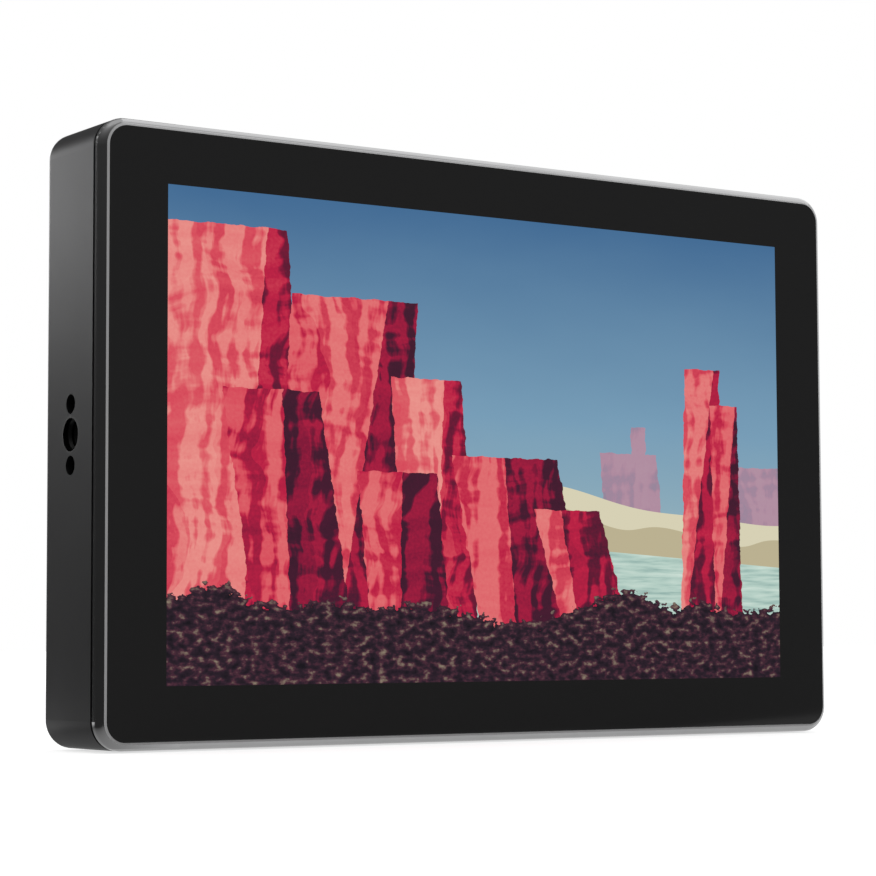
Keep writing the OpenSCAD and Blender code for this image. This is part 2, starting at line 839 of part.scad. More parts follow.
// Bayonet video jack, pointing down out of the bay roof
module video_jack(x) {
    low = bay_z - jack_len;
    difference() {
        union() {
            jack_block(x, jack_half, jack_block_h);
            layer(low, bay_roof + stop_gap) translate([x, jack_d]) circle(jack_r);
            layer(low + 2.6, low + 4.4) patch(x, jack_d, 2 * jack_r + 1.5, 1.8);
        }
        layer(low - past, bay_roof - 3) translate([x, jack_d]) difference() {
            circle(jack_r - 1.1);
            circle(2.4);
        }
        layer(low - past, bay_roof - 3) translate([x, jack_d]) circle(0.7);
        layer(low - past, low + 2) translate([x, jack_d]) circle(jack_r - 1.1);
    }
}

module sdi_in_jack() color("silver") video_jack(sdi_in_x);

module sdi_out_jack() color("silver") video_jack(sdi_out_x);

module jack_nuts() color("gainsboro")
    layer(bay_z - nut_h, bay_z)
        for (x = [sdi_in_x, sdi_out_x]) translate([x, jack_d]) difference() {
            circle(nut_r, $fn = 6);
            circle(jack_r + thread_gap);
        }

// Flat video socket with its contact tongue, opening downwards
module flat_socket(x) {
    low = bay_z - hdmi_proud;
    high = low + hdmi_len;
    mid = board_back + hdmi_t / 2;
    difference() {
        layer(low, high) patch(x, mid, hdmi_w, hdmi_t);
        layer(low - past, high - 2) difference() {
            patch(x, mid, hdmi_w - 2 * hdmi_shell, hdmi_t - 2 * hdmi_shell);
            patch(x, mid, 12, 1.6);
        }
        layer(low - past, low + 1) patch(x, mid, hdmi_w - 2 * hdmi_shell, hdmi_t - 2 * hdmi_shell);
    }
}

module hdmi_in_socket() color("silver") flat_socket(hdmi_in_x);

module hdmi_out_socket() color("silver") flat_socket(hdmi_out_x);

// Round locking power inlet with its two pins
module power_jack() color([0.2, 0.2, 0.2]) {
    low = bay_z - power_len;
    difference() {
        union() {
            jack_block(power_x, power_half, jack_block_h);
            layer(low, bay_roof + stop_gap) translate([power_x, jack_d]) circle(power_r);
        }
        layer(low - past, bay_roof - 2) translate([power_x, jack_d]) difference() {
            circle(power_r - 0.9);
            for (s = [-1, 1]) translate([s * 1.5, 0]) circle(0.6);
        }
    }
}

module headphone_jack() color("black") difference() {
    union() {
        jack_block(phone_x, phone_half, phone_block_h);
        layer(bay_z - phone_proud, bay_roof + stop_gap) translate([phone_x, jack_d]) circle(phone_nose_r);
    }
    layer(bay_z - phone_proud - past, bay_z + phone_block_h)
        translate([phone_x, jack_d]) circle(phone_r);
}

// Oval data port, opening to the right
module usb_port() color("silver") {
    end = body_w / 2 - port_inset;
    mid = board_back + usb_t / 2;
    difference() {
        across(end - usb_len, end) patch(mid, usb_z, usb_t, usb_w);
        across(end - 0.7 * usb_len, end + past) difference() {
            patch(mid, usb_z, usb_t - 0.6, usb_w - 0.6);
            patch(mid, usb_z, 0.7, usb_w - 2.4);
        }
        across(end - 1, end + past) patch(mid, usb_z, usb_t - 0.6, usb_w - 0.6);
    }
}

// Memory card socket, opening to the right
module card_slot() color("silver") {
    end = inner_x - stop_gap;
    mid = board_back + card_t / 2;
    difference() {
        across(end - card_len, end) patch(mid, card_z, card_t, card_w);
        across(end - card_len + 2, end + past) patch(mid, card_z, card_t - 0.6, card_slot_w);
    }
}

// ---------------------------------------------------------------- top buttons

// Round button with the flange that keeps it under the top wall
module top_button(x) {
    layer(flange_low, flange_top) translate([x, button_d]) circle(button_r + flange_w);
    layer(flange_low, top_z + button_proud) translate([x, button_d]) circle(button_r);
}

module plunger(x) layer(switch_top - 1.6, flange_low) translate([x, button_d]) circle(plunger_r);

module power_button() color([0.15, 0.15, 0.15]) top_button(BUTTON_XS[0]);

module menu_button() color([0.15, 0.15, 0.15]) top_button(BUTTON_XS[1]);

module power_plunger() color("red") plunger(BUTTON_XS[0]);

module menu_plunger() color("red") plunger(BUTTON_XS[1]);

module switch_bodies() color("black") difference() {
    layer(switch_low, switch_top)
        for (x = BUTTON_XS) patch(x, button_d, switch_size, switch_size);
    layer(switch_low + 0.6, switch_top + past)
        for (x = BUTTON_XS) translate([x, button_d]) circle(plunger_r + slip);
}

module button_board() color("darkgreen") difference() {
    layer(switch_low - button_board_t, switch_low) patch(button_x, button_d, button_board_w, button_board_l);
    layer(switch_low - button_board_t - past, switch_low + past)
        for (s = [-1, 1]) translate([button_x + s * button_post_x, button_d]) circle(small_screw_r + through_gap);
}

module button_board_screws() color("gainsboro") {
    seat = switch_low - button_board_t;
    for (s = [-1, 1]) translate([button_x + s * button_post_x, 0]) {
        layer(seat - 0.9, seat) translate([0, button_d]) circle(small_screw_r + 0.8);
        layer(seat, switch_low + 0.9 * button_post_hole) translate([0, button_d]) circle(small_screw_r);
    }
}

// Clear rod that shows the power light at the top face
module light_pipe() color("white")
    layer(switch_low, top_z) translate([button_x, button_d]) circle(light_r);

// ---------------------------------------------------------------- battery plates

// Base with side rails, lips that hold the battery, an end stop and the latch window
module battery_plate(side) {
    x = side * plate_x;
    difference() {
        union() {
            slab(body_d, plate_back) translate([x, plate_z]) rounded(plate_w, plate_h, 2);
            for (s = [-1, 1]) {
                slab(body_d, rail_top) patch(x + s * (plate_w - rail_w) / 2, plate_z, rail_w, plate_h - 4);
                slab(rail_top - lip_t, rail_top)
                    for (z = LIPS)
                        patch(x + s * (plate_w / 2 - rail_w - lip_w / 2 + past / 2), plate_z + z, lip_w + past, lip_l);
            }
            slab(body_d, rail_top) patch(x, plate_z - (plate_h - stop_t) / 2 + 2, plate_w - rail_w, stop_t);
        }
        slab(plate_back - latch_lip, plate_back + past) patch(x, latch_z, latch_w + 2 * slip, latch_h + 2 * slip);
        slab(body_d - past, plate_back - latch_lip)
            patch(x, latch_z, latch_w + 2 * latch_flange + 2 * slip, latch_h + 2 * latch_flange + 2 * slip);
        slab(body_d - past, plate_back - 1) translate([x, contact_z]) circle(lead_hole_r);
        slab(plate_back - 1 - past, plate_back + past)
            for (i = [-1:1])
                patch(x + i * contact_pitch, contact_z, contact_w + 2 * stop_gap, contact_h + 2 * stop_gap);
        for (p = PLATE_SCREWS) {
            slab(body_d - past, plate_back + past)
                translate([x + p[0], plate_z + p[1]]) circle(screw_r + through_gap);
            slab(plate_back - head_sink, plate_back + past)
                translate([x + p[0], plate_z + p[1]]) circle(head_r + head_gap);
        }
    }
}

module battery_plate_left() color([0.1, 0.1, 0.1]) battery_plate(-1);

module battery_plate_right() color([0.1, 0.1, 0.1]) battery_plate(1);

module plate_screws() color("gainsboro")
    for (side = [-1, 1], p = PLATE_SCREWS)
        depth_screw(side * plate_x + p[0], plate_z + p[1], plate_back - head_sink, inside_d + 0.2);

// Sprung release key: flange under the plate, key in the window and a sloping hook
module battery_latch(side) {
    x = side * plate_x;
    hook_z = latch_z - latch_h / 2;
    difference() {
        union() {
            slab(latch_seat - latch_flange, latch_seat)
                patch(x, latch_z, latch_w + 2 * latch_flange, latch_h + 2 * latch_flange);
            slab(latch_seat - latch_flange, plate_back + 0.4) patch(x, latch_z, latch_w, latch_h);
            across(x - 3, x + 3) polygon([
                [plate_back, hook_z], [plate_back + hook_h, hook_z + 0.6],
                [plate_back + hook_h, hook_z + 2], [plate_back, hook_z + 5]
            ]);
        }
        slab(body_d - past, latch_seat - latch_flange + spring_pocket)
            translate([x, latch_z]) circle(spring_r + 2 * slip);
        for (i = [0:2])
            across(x - latch_w / 2 - past, x + latch_w / 2 + past)
                patch(plate_back + 0.4, latch_z + 1 + 2 * i, 0.6, 0.8);
    }
}

module battery_latch_left() color("firebrick") battery_latch(-1);

module battery_latch_right() color("firebrick") battery_latch(1);

module latch_spring(side)
    slab(body_d, latch_seat - latch_flange + spring_pocket)
        translate([side * plate_x, latch_z]) difference() {
            circle(spring_r);
            circle(spring_r - spring_wire);
        }

module latch_spring_left() color("gainsboro") latch_spring(-1);

module latch_spring_right() color("gainsboro") latch_spring(1);

// Three contact blades in each plate
module battery_contacts() color("gold")
    slab(plate_back - 1, plate_back + contact_proud)
        for (side = [-1, 1], i = [-1:1])
            patch(side * plate_x + i * contact_pitch, contact_z, contact_w, contact_h);

// Two wires from each plate, through the back wall, to the main board
module battery_leads() color("crimson")
    slab(board_back, plate_back - 1)
        for (side = [-1, 1], s = [-1, 1])
            translate([side * plate_x + s * lead_pitch / 2, contact_z]) circle(lead_r);

cover_glass();
border_print();
glass_tape();
touch_sensor();
optical_bond();
lcd_panel();
diffuser_stack();
light_guide();
reflector_sheet();
led_strip();
backlight_tray();
front_frame();
seam_gasket();
display_carrier();
carrier_screws();
display_flex();
touch_flex();
backlight_flex();
rear_housing();
left_thread_insert();
right_thread_insert();
bottom_thread_insert();
case_screws();
main_board();
board_screws();
board_chips();
flex_sockets();
shield_can();
thermal_pad();
heat_sink();
heat_sink_screws();
fan_frame();
fan_rotor();
fan_screws();
sdi_in_jack();
sdi_out_jack();
jack_nuts();
hdmi_in_socket();
hdmi_out_socket();
power_jack();
headphone_jack();
usb_port();
card_slot();
power_button();
menu_button();
power_plunger();
menu_plunger();
switch_bodies();
button_board();
button_board_screws();
light_pipe();
battery_plate_left();
battery_plate_right();
plate_screws();
battery_latch_left();
battery_latch_right();
latch_spring_left();
latch_spring_right();
battery_contacts();
battery_leads();
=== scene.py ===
"""Studio scene of a camera field monitor: finishes, small parts, floor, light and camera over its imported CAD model."""

from __future__ import annotations

import json
import logging
import math
from dataclasses import dataclass, field
from enum import Enum

import bpy
from mathutils import Matrix, Vector

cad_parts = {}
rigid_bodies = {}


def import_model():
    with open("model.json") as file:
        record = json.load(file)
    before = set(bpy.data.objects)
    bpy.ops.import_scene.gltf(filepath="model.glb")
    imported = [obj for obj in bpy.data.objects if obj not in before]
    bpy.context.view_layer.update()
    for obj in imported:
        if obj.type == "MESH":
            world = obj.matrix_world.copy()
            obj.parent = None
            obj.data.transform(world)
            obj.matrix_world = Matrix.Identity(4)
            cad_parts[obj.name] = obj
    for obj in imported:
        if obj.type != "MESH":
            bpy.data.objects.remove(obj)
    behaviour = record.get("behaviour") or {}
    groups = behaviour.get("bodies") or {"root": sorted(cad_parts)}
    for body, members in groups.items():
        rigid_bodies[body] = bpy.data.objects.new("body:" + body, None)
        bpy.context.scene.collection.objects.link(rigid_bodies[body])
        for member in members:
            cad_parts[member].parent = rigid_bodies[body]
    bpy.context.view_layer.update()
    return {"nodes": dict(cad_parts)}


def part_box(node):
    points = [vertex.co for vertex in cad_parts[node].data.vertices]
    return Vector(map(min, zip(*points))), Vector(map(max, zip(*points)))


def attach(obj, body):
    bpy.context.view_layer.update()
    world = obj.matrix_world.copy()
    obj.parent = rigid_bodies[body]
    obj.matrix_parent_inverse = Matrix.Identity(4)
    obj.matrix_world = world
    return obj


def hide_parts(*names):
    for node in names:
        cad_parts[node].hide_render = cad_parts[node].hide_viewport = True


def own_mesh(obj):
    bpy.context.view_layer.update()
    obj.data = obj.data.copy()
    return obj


LOG = logging.getLogger("monitor")
MM = 0.001
QUARTER = math.pi / 2
ROOT = "monitor"
Point = tuple[float, float, float]
Colour = Point
Stops = tuple[tuple[float, Colour], ...]
Profile = tuple[tuple[float, ...], ...]
Nodes = dict[str, bpy.types.Object]
ORIGIN: Point = (0.0, 0.0, 0.0)
RING_POINTS = 24
TINY = 1e-6
WHITE: Colour = (1.0, 1.0, 1.0)


def screen(*levels: float) -> Colour:
    """A colour in linear light, from its screen levels of 0 to 255."""
    shares = (level / 255 for level in levels)
    return tuple(share / 12.92 if share <= 0.04045 else ((share + 0.055) / 1.055) ** 2.4 for share in shares)


def grey(level: float) -> Colour:
    """A neutral colour from a screen level of 0 to 255."""
    return screen(level, level, level)


def metres(point: Point) -> Vector:
    """A point in millimetres, in metres."""
    return Vector(point) * MM


def into_scene(name: str, data: bpy.types.ID) -> bpy.types.Object:
    """Adds an object to the scene.

    Args:
        name: Its name.
        data: Its mesh, light or camera.

    Returns:
        The object.
    """
    thing = bpy.data.objects.new(name, data)
    bpy.context.scene.collection.objects.link(thing)
    return thing


# Shader nodes


class Field:
    """A number that varies over a surface, with arithmetic that adds the shader nodes for it."""

    def __init__(self, graph: Tree, socket: bpy.types.NodeSocket) -> None:
        """Keeps the tree and the socket that gives the number."""
        self.graph = graph
        self.socket = socket

    def calc(self, kind: str, *values: Field | float) -> Field:
        """The result of one Math node, by Blender's name of the operation and its inputs in order."""
        return Field(self.graph, self.graph.add("ShaderNodeMath", dict(enumerate(values)), operation=kind).outputs[0])

    def __add__(self, other: Field | float) -> Field:
        """Sum."""
        return self.calc("ADD", self, other)

    def __radd__(self, other: float) -> Field:
        """Sum with a plain number."""
        return self.calc("ADD", self, other)

    def __sub__(self, other: Field | float) -> Field:
        """Difference."""
        return self.calc("SUBTRACT", self, other)

    def __rsub__(self, other: float) -> Field:
        """Difference from a plain number."""
        return self.calc("SUBTRACT", other, self)

    def __mul__(self, other: Field | float) -> Field:
        """Product."""
        return self.calc("MULTIPLY", self, other)

    def __truediv__(self, other: Field | float) -> Field:
        """Quotient."""
        return self.calc("DIVIDE", self, other)

    def __lt__(self, other: Field | float) -> Field:
        """1 where this is below the other, else 0."""
        return self.calc("LESS_THAN", self, other)

    def __gt__(self, other: Field | float) -> Field:
        """1 where this is above the other, else 0."""
        return self.calc("GREATER_THAN", self, other)

    def __abs__(self) -> Field:
        """Distance from zero."""
        return self.calc("ABSOLUTE", self)

    def __pow__(self, other: float) -> Field:
        """Power."""
        return self.calc("POWER", self, other)

    def floor(self) -> Field:
        """Whole number below."""
        return self.calc("FLOOR", self)

    def wrap(self) -> Field:
        """Part after the point."""
        return self.calc("FRACT", self)

    def sine(self) -> Field:
        """Sine of the field in radians."""
        return self.calc("SINE", self)

    def root(self) -> Field:
        """Square root."""
        return self.calc("SQRT", self)

    def most(self, other: Field) -> Field:
        """The larger of two fields."""
        return self.calc("MAXIMUM", self, other)

    def chance(self, seed: float = 0.0) -> Field:
        """A random number of 0 to 1 for each value of the field, from the row of that seed."""
        inputs = {"Vector": self.graph.join(self, seed)}
        return Field(self.graph, self.graph.add("ShaderNodeTexWhiteNoise", inputs, noise_dimensions="2D").outputs[0])

    def between(self, low: float, high: float) -> Field:
        """Rises evenly from 0 at low to 1 at high, and stays in that range."""
        inputs = {"Value": self, "From Min": low, "From Max": high}
        return Field(self.graph, self.graph.add("ShaderNodeMapRange", inputs, clamp=True).outputs["Result"])


class Tree:
    """A node tree and the calls that let it grow."""

    def __init__(self, tree: bpy.types.NodeTree) -> None:
        """Empties the tree."""
        self.tree = tree
        tree.nodes.clear()

    def add(self, kind: str, inputs: dict[str | int, object] | None = None, **settings: object) -> bpy.types.Node:
        """Adds a node.

        Args:
            kind: Blender's identifier of the node.
            inputs: What feeds its inputs, by name or number.
            settings: Property values by name.

        Returns:
            The node.
        """
        node = self.tree.nodes.new(kind)
        for name, value in settings.items():
            setattr(node, name, value)
        for name, value in (inputs or {}).items():
            self.feed(node.inputs[name], value)
        return node

    def feed(self, socket: bpy.types.NodeSocket, value: object) -> None:
        """Links a value to an input, or writes it there.

        Args:
            socket: The input.
            value: A field, a node, an output socket, a number, a vector or a colour.
        """
        if isinstance(value, Field):
            value = value.socket
        elif isinstance(value, bpy.types.Node):
            value = value.outputs[0]
        if isinstance(value, bpy.types.NodeSocket):
            self.tree.links.new(value, socket)
        elif isinstance(value, tuple) and socket.type == "RGBA":
            socket.default_value = (*value, 1)
        else:
            socket.default_value = value

    def seen(self) -> Field:
        """1 for the camera's rays and those that mirror or pass through, else 0."""
        rays = self.add("ShaderNodeLightPath").outputs
        camera, glossy, through = (Field(self, rays[f"Is {kind} Ray"]) for kind in ("Camera", "Glossy", "Transmission"))
        return camera.most(glossy).most(through)


class Graph(Tree):
    """The node tree of one material, with a Principled shader and the calls that feed it."""

    def __init__(self, name: str) -> None:
        """Starts an empty material with that name."""
        self.material = bpy.data.materials.new(name)
        self.material.use_nodes = True
        super().__init__(self.material.node_tree)
        self.shader = self.add("ShaderNodeBsdfPrincipled")
        self.add("ShaderNodeOutputMaterial", {"Surface": self.shader})
        self.place = self.add("ShaderNodeTexCoord").outputs["Object"]

    def set(self, **inputs: object) -> None:
        """Feeds inputs of the Principled shader, named with underscores for their spaces."""
        for name, value in inputs.items():
            self.feed(self.shader.inputs[name.replace("_", " ")], value)

    def axes(self) -> tuple[Field, ...]:
        """The three object coordinates in millimetres."""
        parts = self.add("ShaderNodeSeparateXYZ", {0: self.place})
        return tuple(Field(self, socket) * 1000 for socket in parts.outputs)

    def join(self, x: Field | float, y: Field | float, z: Field | float = 0.0) -> bpy.types.NodeSocket:
        """One vector from its three parts."""
        return self.add("ShaderNodeCombineXYZ", {0: x, 1: y, 2: z}).outputs[0]

    def noise(self, scale: float, detail: float, vector: bpy.types.NodeSocket | None = None) -> Field:
        """Soft noise of about 0 to 1, with scale cells to the unit of the vector, or else of the object."""
        inputs = {"Vector": vector or self.place, "Scale": float(scale), "Detail": float(detail)}
        return Field(self, self.add("ShaderNodeTexNoise", inputs).outputs["Fac"])

    def cells(self, scale: float, vector: bpy.types.NodeSocket) -> Field:
        """A random number of 0 to 1 for each straight-edged cell, with scale cells to the unit of the vector."""
        node = self.add("ShaderNodeTexVoronoi", {"Vector": vector, "Scale": float(scale)})
        return Field(self, self.add("ShaderNodeSeparateColor", {0: node.outputs["Color"]}).outputs[0])

    def stretched(self, scale: Point) -> bpy.types.NodeSocket:
        """The object coordinates, scaled on each axis."""
        return self.add("ShaderNodeMapping", {"Vector": self.place, "Scale": scale}).outputs[0]

    def mix(self, share: Field | float, first: object, second: object) -> bpy.types.NodeSocket:
        """Blends two colours, from the first at a share of 0 to the second at 1."""
        return self.add("ShaderNodeMix", {"Factor": share, 6: first, 7: second}, data_type="RGBA").outputs[2]

    def ramp(self, value: Field, stops: Stops) -> bpy.types.NodeSocket:
        """Looks a number up in a row of colours.

        Args:
            value: The number, 0 to 1.
            stops: Place and colour of each stop.

        Returns:
            The colour.
        """
        node = self.add("ShaderNodeValToRGB", {0: value})
        row = node.color_ramp
        while len(row.elements) < len(stops):
            row.elements.new(1)
        for element, (place, colour) in zip(row.elements, stops):
            element.position = place
            element.color = (*colour, 1)
        return node.outputs[0]

    def bump(self, height: Field, depth: float, strength: float) -> None:
        """Roughens the surface by a height, of which 1 stands for that many millimetres."""
        node = self.add("ShaderNodeBump", {"Strength": strength, "Distance": depth * MM, "Height": height})
        self.feed(self.shader.inputs["Normal"], node)


# Finishes


@dataclass(frozen=True)
class Grain:
    """A fine texture: cells to the metre, bump depth in millimetres, spread of gloss and of colour."""

    scale: Point
    depth: float
    gloss_spread: float
    colour_spread: float


class Surface(Enum):
    """How a plain finish is textured."""

    MOULDED = Grain((2600, 2600, 2600), 0.02, 0.12, 0.14)
    CAST = Grain((1500, 1500, 1500), 0.03, 0.16, 0.2)
    BRUSHED = Grain((120, 3200, 3200), 0.008, 0.2, 0.12)
    FOAM = Grain((3500, 3500, 3500), 0.06, 0.08, 0.3)
    PLATED = Grain((420, 420, 420), 0.0015, 0.08, 0.05)


@dataclass(frozen=True)
class Finish:
    """A plain finish: colour, gloss and a fine texture at its real scale."""

    colour: Colour
    roughness: float
    surface: Surface
    metallic: float = 0.0
    specular: float = 0.5

    def make(self, name: str) -> bpy.types.Material:
        """Builds the material under that name."""
        graph = Graph(name)
        grain = self.surface.value
        fine = graph.noise(1, 3, graph.stretched(grain.scale))
        wide = graph.noise(45, 3)
        dark = tuple(c * (1 - grain.colour_spread) for c in self.colour)
        light = tuple(min(1.0, c * (1 + grain.colour_spread)) for c in self.colour)
        graph.set(
            Base_Color=graph.mix((fine * 0.4 + wide * 0.6).between(0.25, 0.75), dark, light),
            Roughness=(wide + fine - 1) * grain.gloss_spread + self.roughness,
            Metallic=self.metallic,
            Specular_IOR_Level=self.specular,
        )
        graph.bump(fine, grain.depth, 0.6)
        return graph.material


@dataclass(frozen=True)
class BoardFinish:
    """Solder mask over copper lines, with tinned pads."""

    mask: Colour = screen(16, 58, 40)
    line: Colour = screen(34, 92, 60)
    pad: Colour = screen(205, 196, 168)
    pitch: float = 1.1

    def make(self, name: str) -> bpy.types.Material:
        """Builds the material under that name."""
        graph = Graph(name)
        x, _, z = graph.axes()
        lane = (x / self.pitch).floor()
        step = (z / (self.pitch * 5) + lane.chance() * 3).floor()
        copper = ((x / self.pitch).wrap() < 0.4) * (step.chance(3.0) > 0.35)
        pads = (graph.cells(260, graph.place) > 0.9) * (graph.noise(700, 0) > 0.52)
        colour = graph.mix(pads, graph.mix(copper, self.mask, self.line), self.pad)
        graph.set(Base_Color=colour, Metallic=pads * 0.8, Roughness=0.42 - pads * 0.15)
        graph.bump(copper + pads, 0.03, 0.7)
        return graph.material


@dataclass(frozen=True)
class RibbonFinish:
    """Amber film over fine copper lines."""

    film: Colour = screen(150, 92, 30)
    line: Colour = screen(196, 138, 62)
    pitch: float = 0.6

    def make(self, name: str) -> bpy.types.Material:
        """Builds the material under that name."""
        graph = Graph(name)
        x, _, _ = graph.axes()
        line = (x / self.pitch).wrap() < 0.5
        graph.set(
            Base_Color=graph.mix(line, self.film, self.line),
            Roughness=graph.noise(400, 2) * 0.2 + 0.25,
        )
        graph.bump(line, 0.02, 0.5)
        return graph.material


@dataclass(frozen=True)
class LedFinish:
    """White strip with a row of yellow light chips."""

    strip: Colour = grey(228)
    chip: Colour = screen(236, 206, 96)
    pitch: float = 6.0
    chip_length: float = 3.4

    def make(self, name: str) -> bpy.types.Material:
        """Builds the material under that name."""
        graph = Graph(name)
        x, _, _ = graph.axes()
        chip = (x / self.pitch).wrap() < self.chip_length / self.pitch
        graph.set(Base_Color=graph.mix(chip, self.strip, self.chip), Roughness=graph.noise(600, 2) * 0.2 + 0.3)
        graph.bump(chip, 0.05, 0.5)
        return graph.material


@dataclass(frozen=True)
class HousingFinish:
    """Bead-blasted black metal with slightly rubbed patches."""

    colour: Colour = (0.105, 0.105, 0.1065)
    rubbed: Colour = (0.138, 0.138, 0.14)
    grazing: float = 0.6
    roughness: float = 0.46

    def make(self, name: str) -> bpy.types.Material:
        """Builds the material under that name."""
        graph = Graph(name)
        beads = graph.noise(5200, 2)
        cloud = graph.noise(22, 4)
        handling = graph.noise(60, 5)
        rub = (cloud * 0.5 + handling * 0.5).between(0.42, 0.62)
        graph.set(
            Base_Color=graph.mix(rub * 0.35 + beads * 0.15, self.colour, self.rubbed),
            Metallic=1.0,
            Specular_Tint=(self.grazing,) * 3,
            Roughness=self.roughness + (cloud - 0.5) * 0.06 + (beads - 0.5) * 0.05,
        )
        graph.bump(beads, 0.008, 0.5)
        return graph.material


@dataclass(frozen=True)
class EdgeFinish:
    """Polished grey metal edge with a pale matt line beside the glass: a lighter bevel with its highlight painted in,
    pale and matt, so that it shows bright under any light.
    """

    side: Colour = (0.33, 0.33, 0.333)
    facet_highlight: Colour = (0.42, 0.42, 0.425)
    facet_end: float = -12.12
    side_roughness: float = 0.11
    facet_roughness: float = 0.5

    def make(self, name: str) -> bpy.types.Material:
        """Builds the material under that name."""
        graph = Graph(name)
        _, y, _ = graph.axes()
        # Painted highlight: the bevel beside the glass is pale matt paint instead of polished metal.
        facet_highlight = y < self.facet_end
        fine = graph.noise(1, 3, graph.stretched((700, 9000, 700)))
        cloud = graph.noise(90, 3)
        side = graph.mix(cloud, tuple(c * 0.92 for c in self.side), tuple(c * 1.08 for c in self.side))
        graph.set(
            Base_Color=graph.mix(facet_highlight, side, self.facet_highlight),
            Metallic=1 - facet_highlight,
            Roughness=self.side_roughness
            + facet_highlight * (self.facet_roughness - self.side_roughness)
            + (fine - 0.5) * 0.05,
        )
        graph.bump(fine, 0.002, 0.5)
        return graph.material


@dataclass(frozen=True)
class Tower:
    """One rock tower of the picture: its outline, where it turns into shade, and how bright it is."""

    left: float
    right: float
    top: float
    lean: float
    corner: float
    light: float
    seed: float


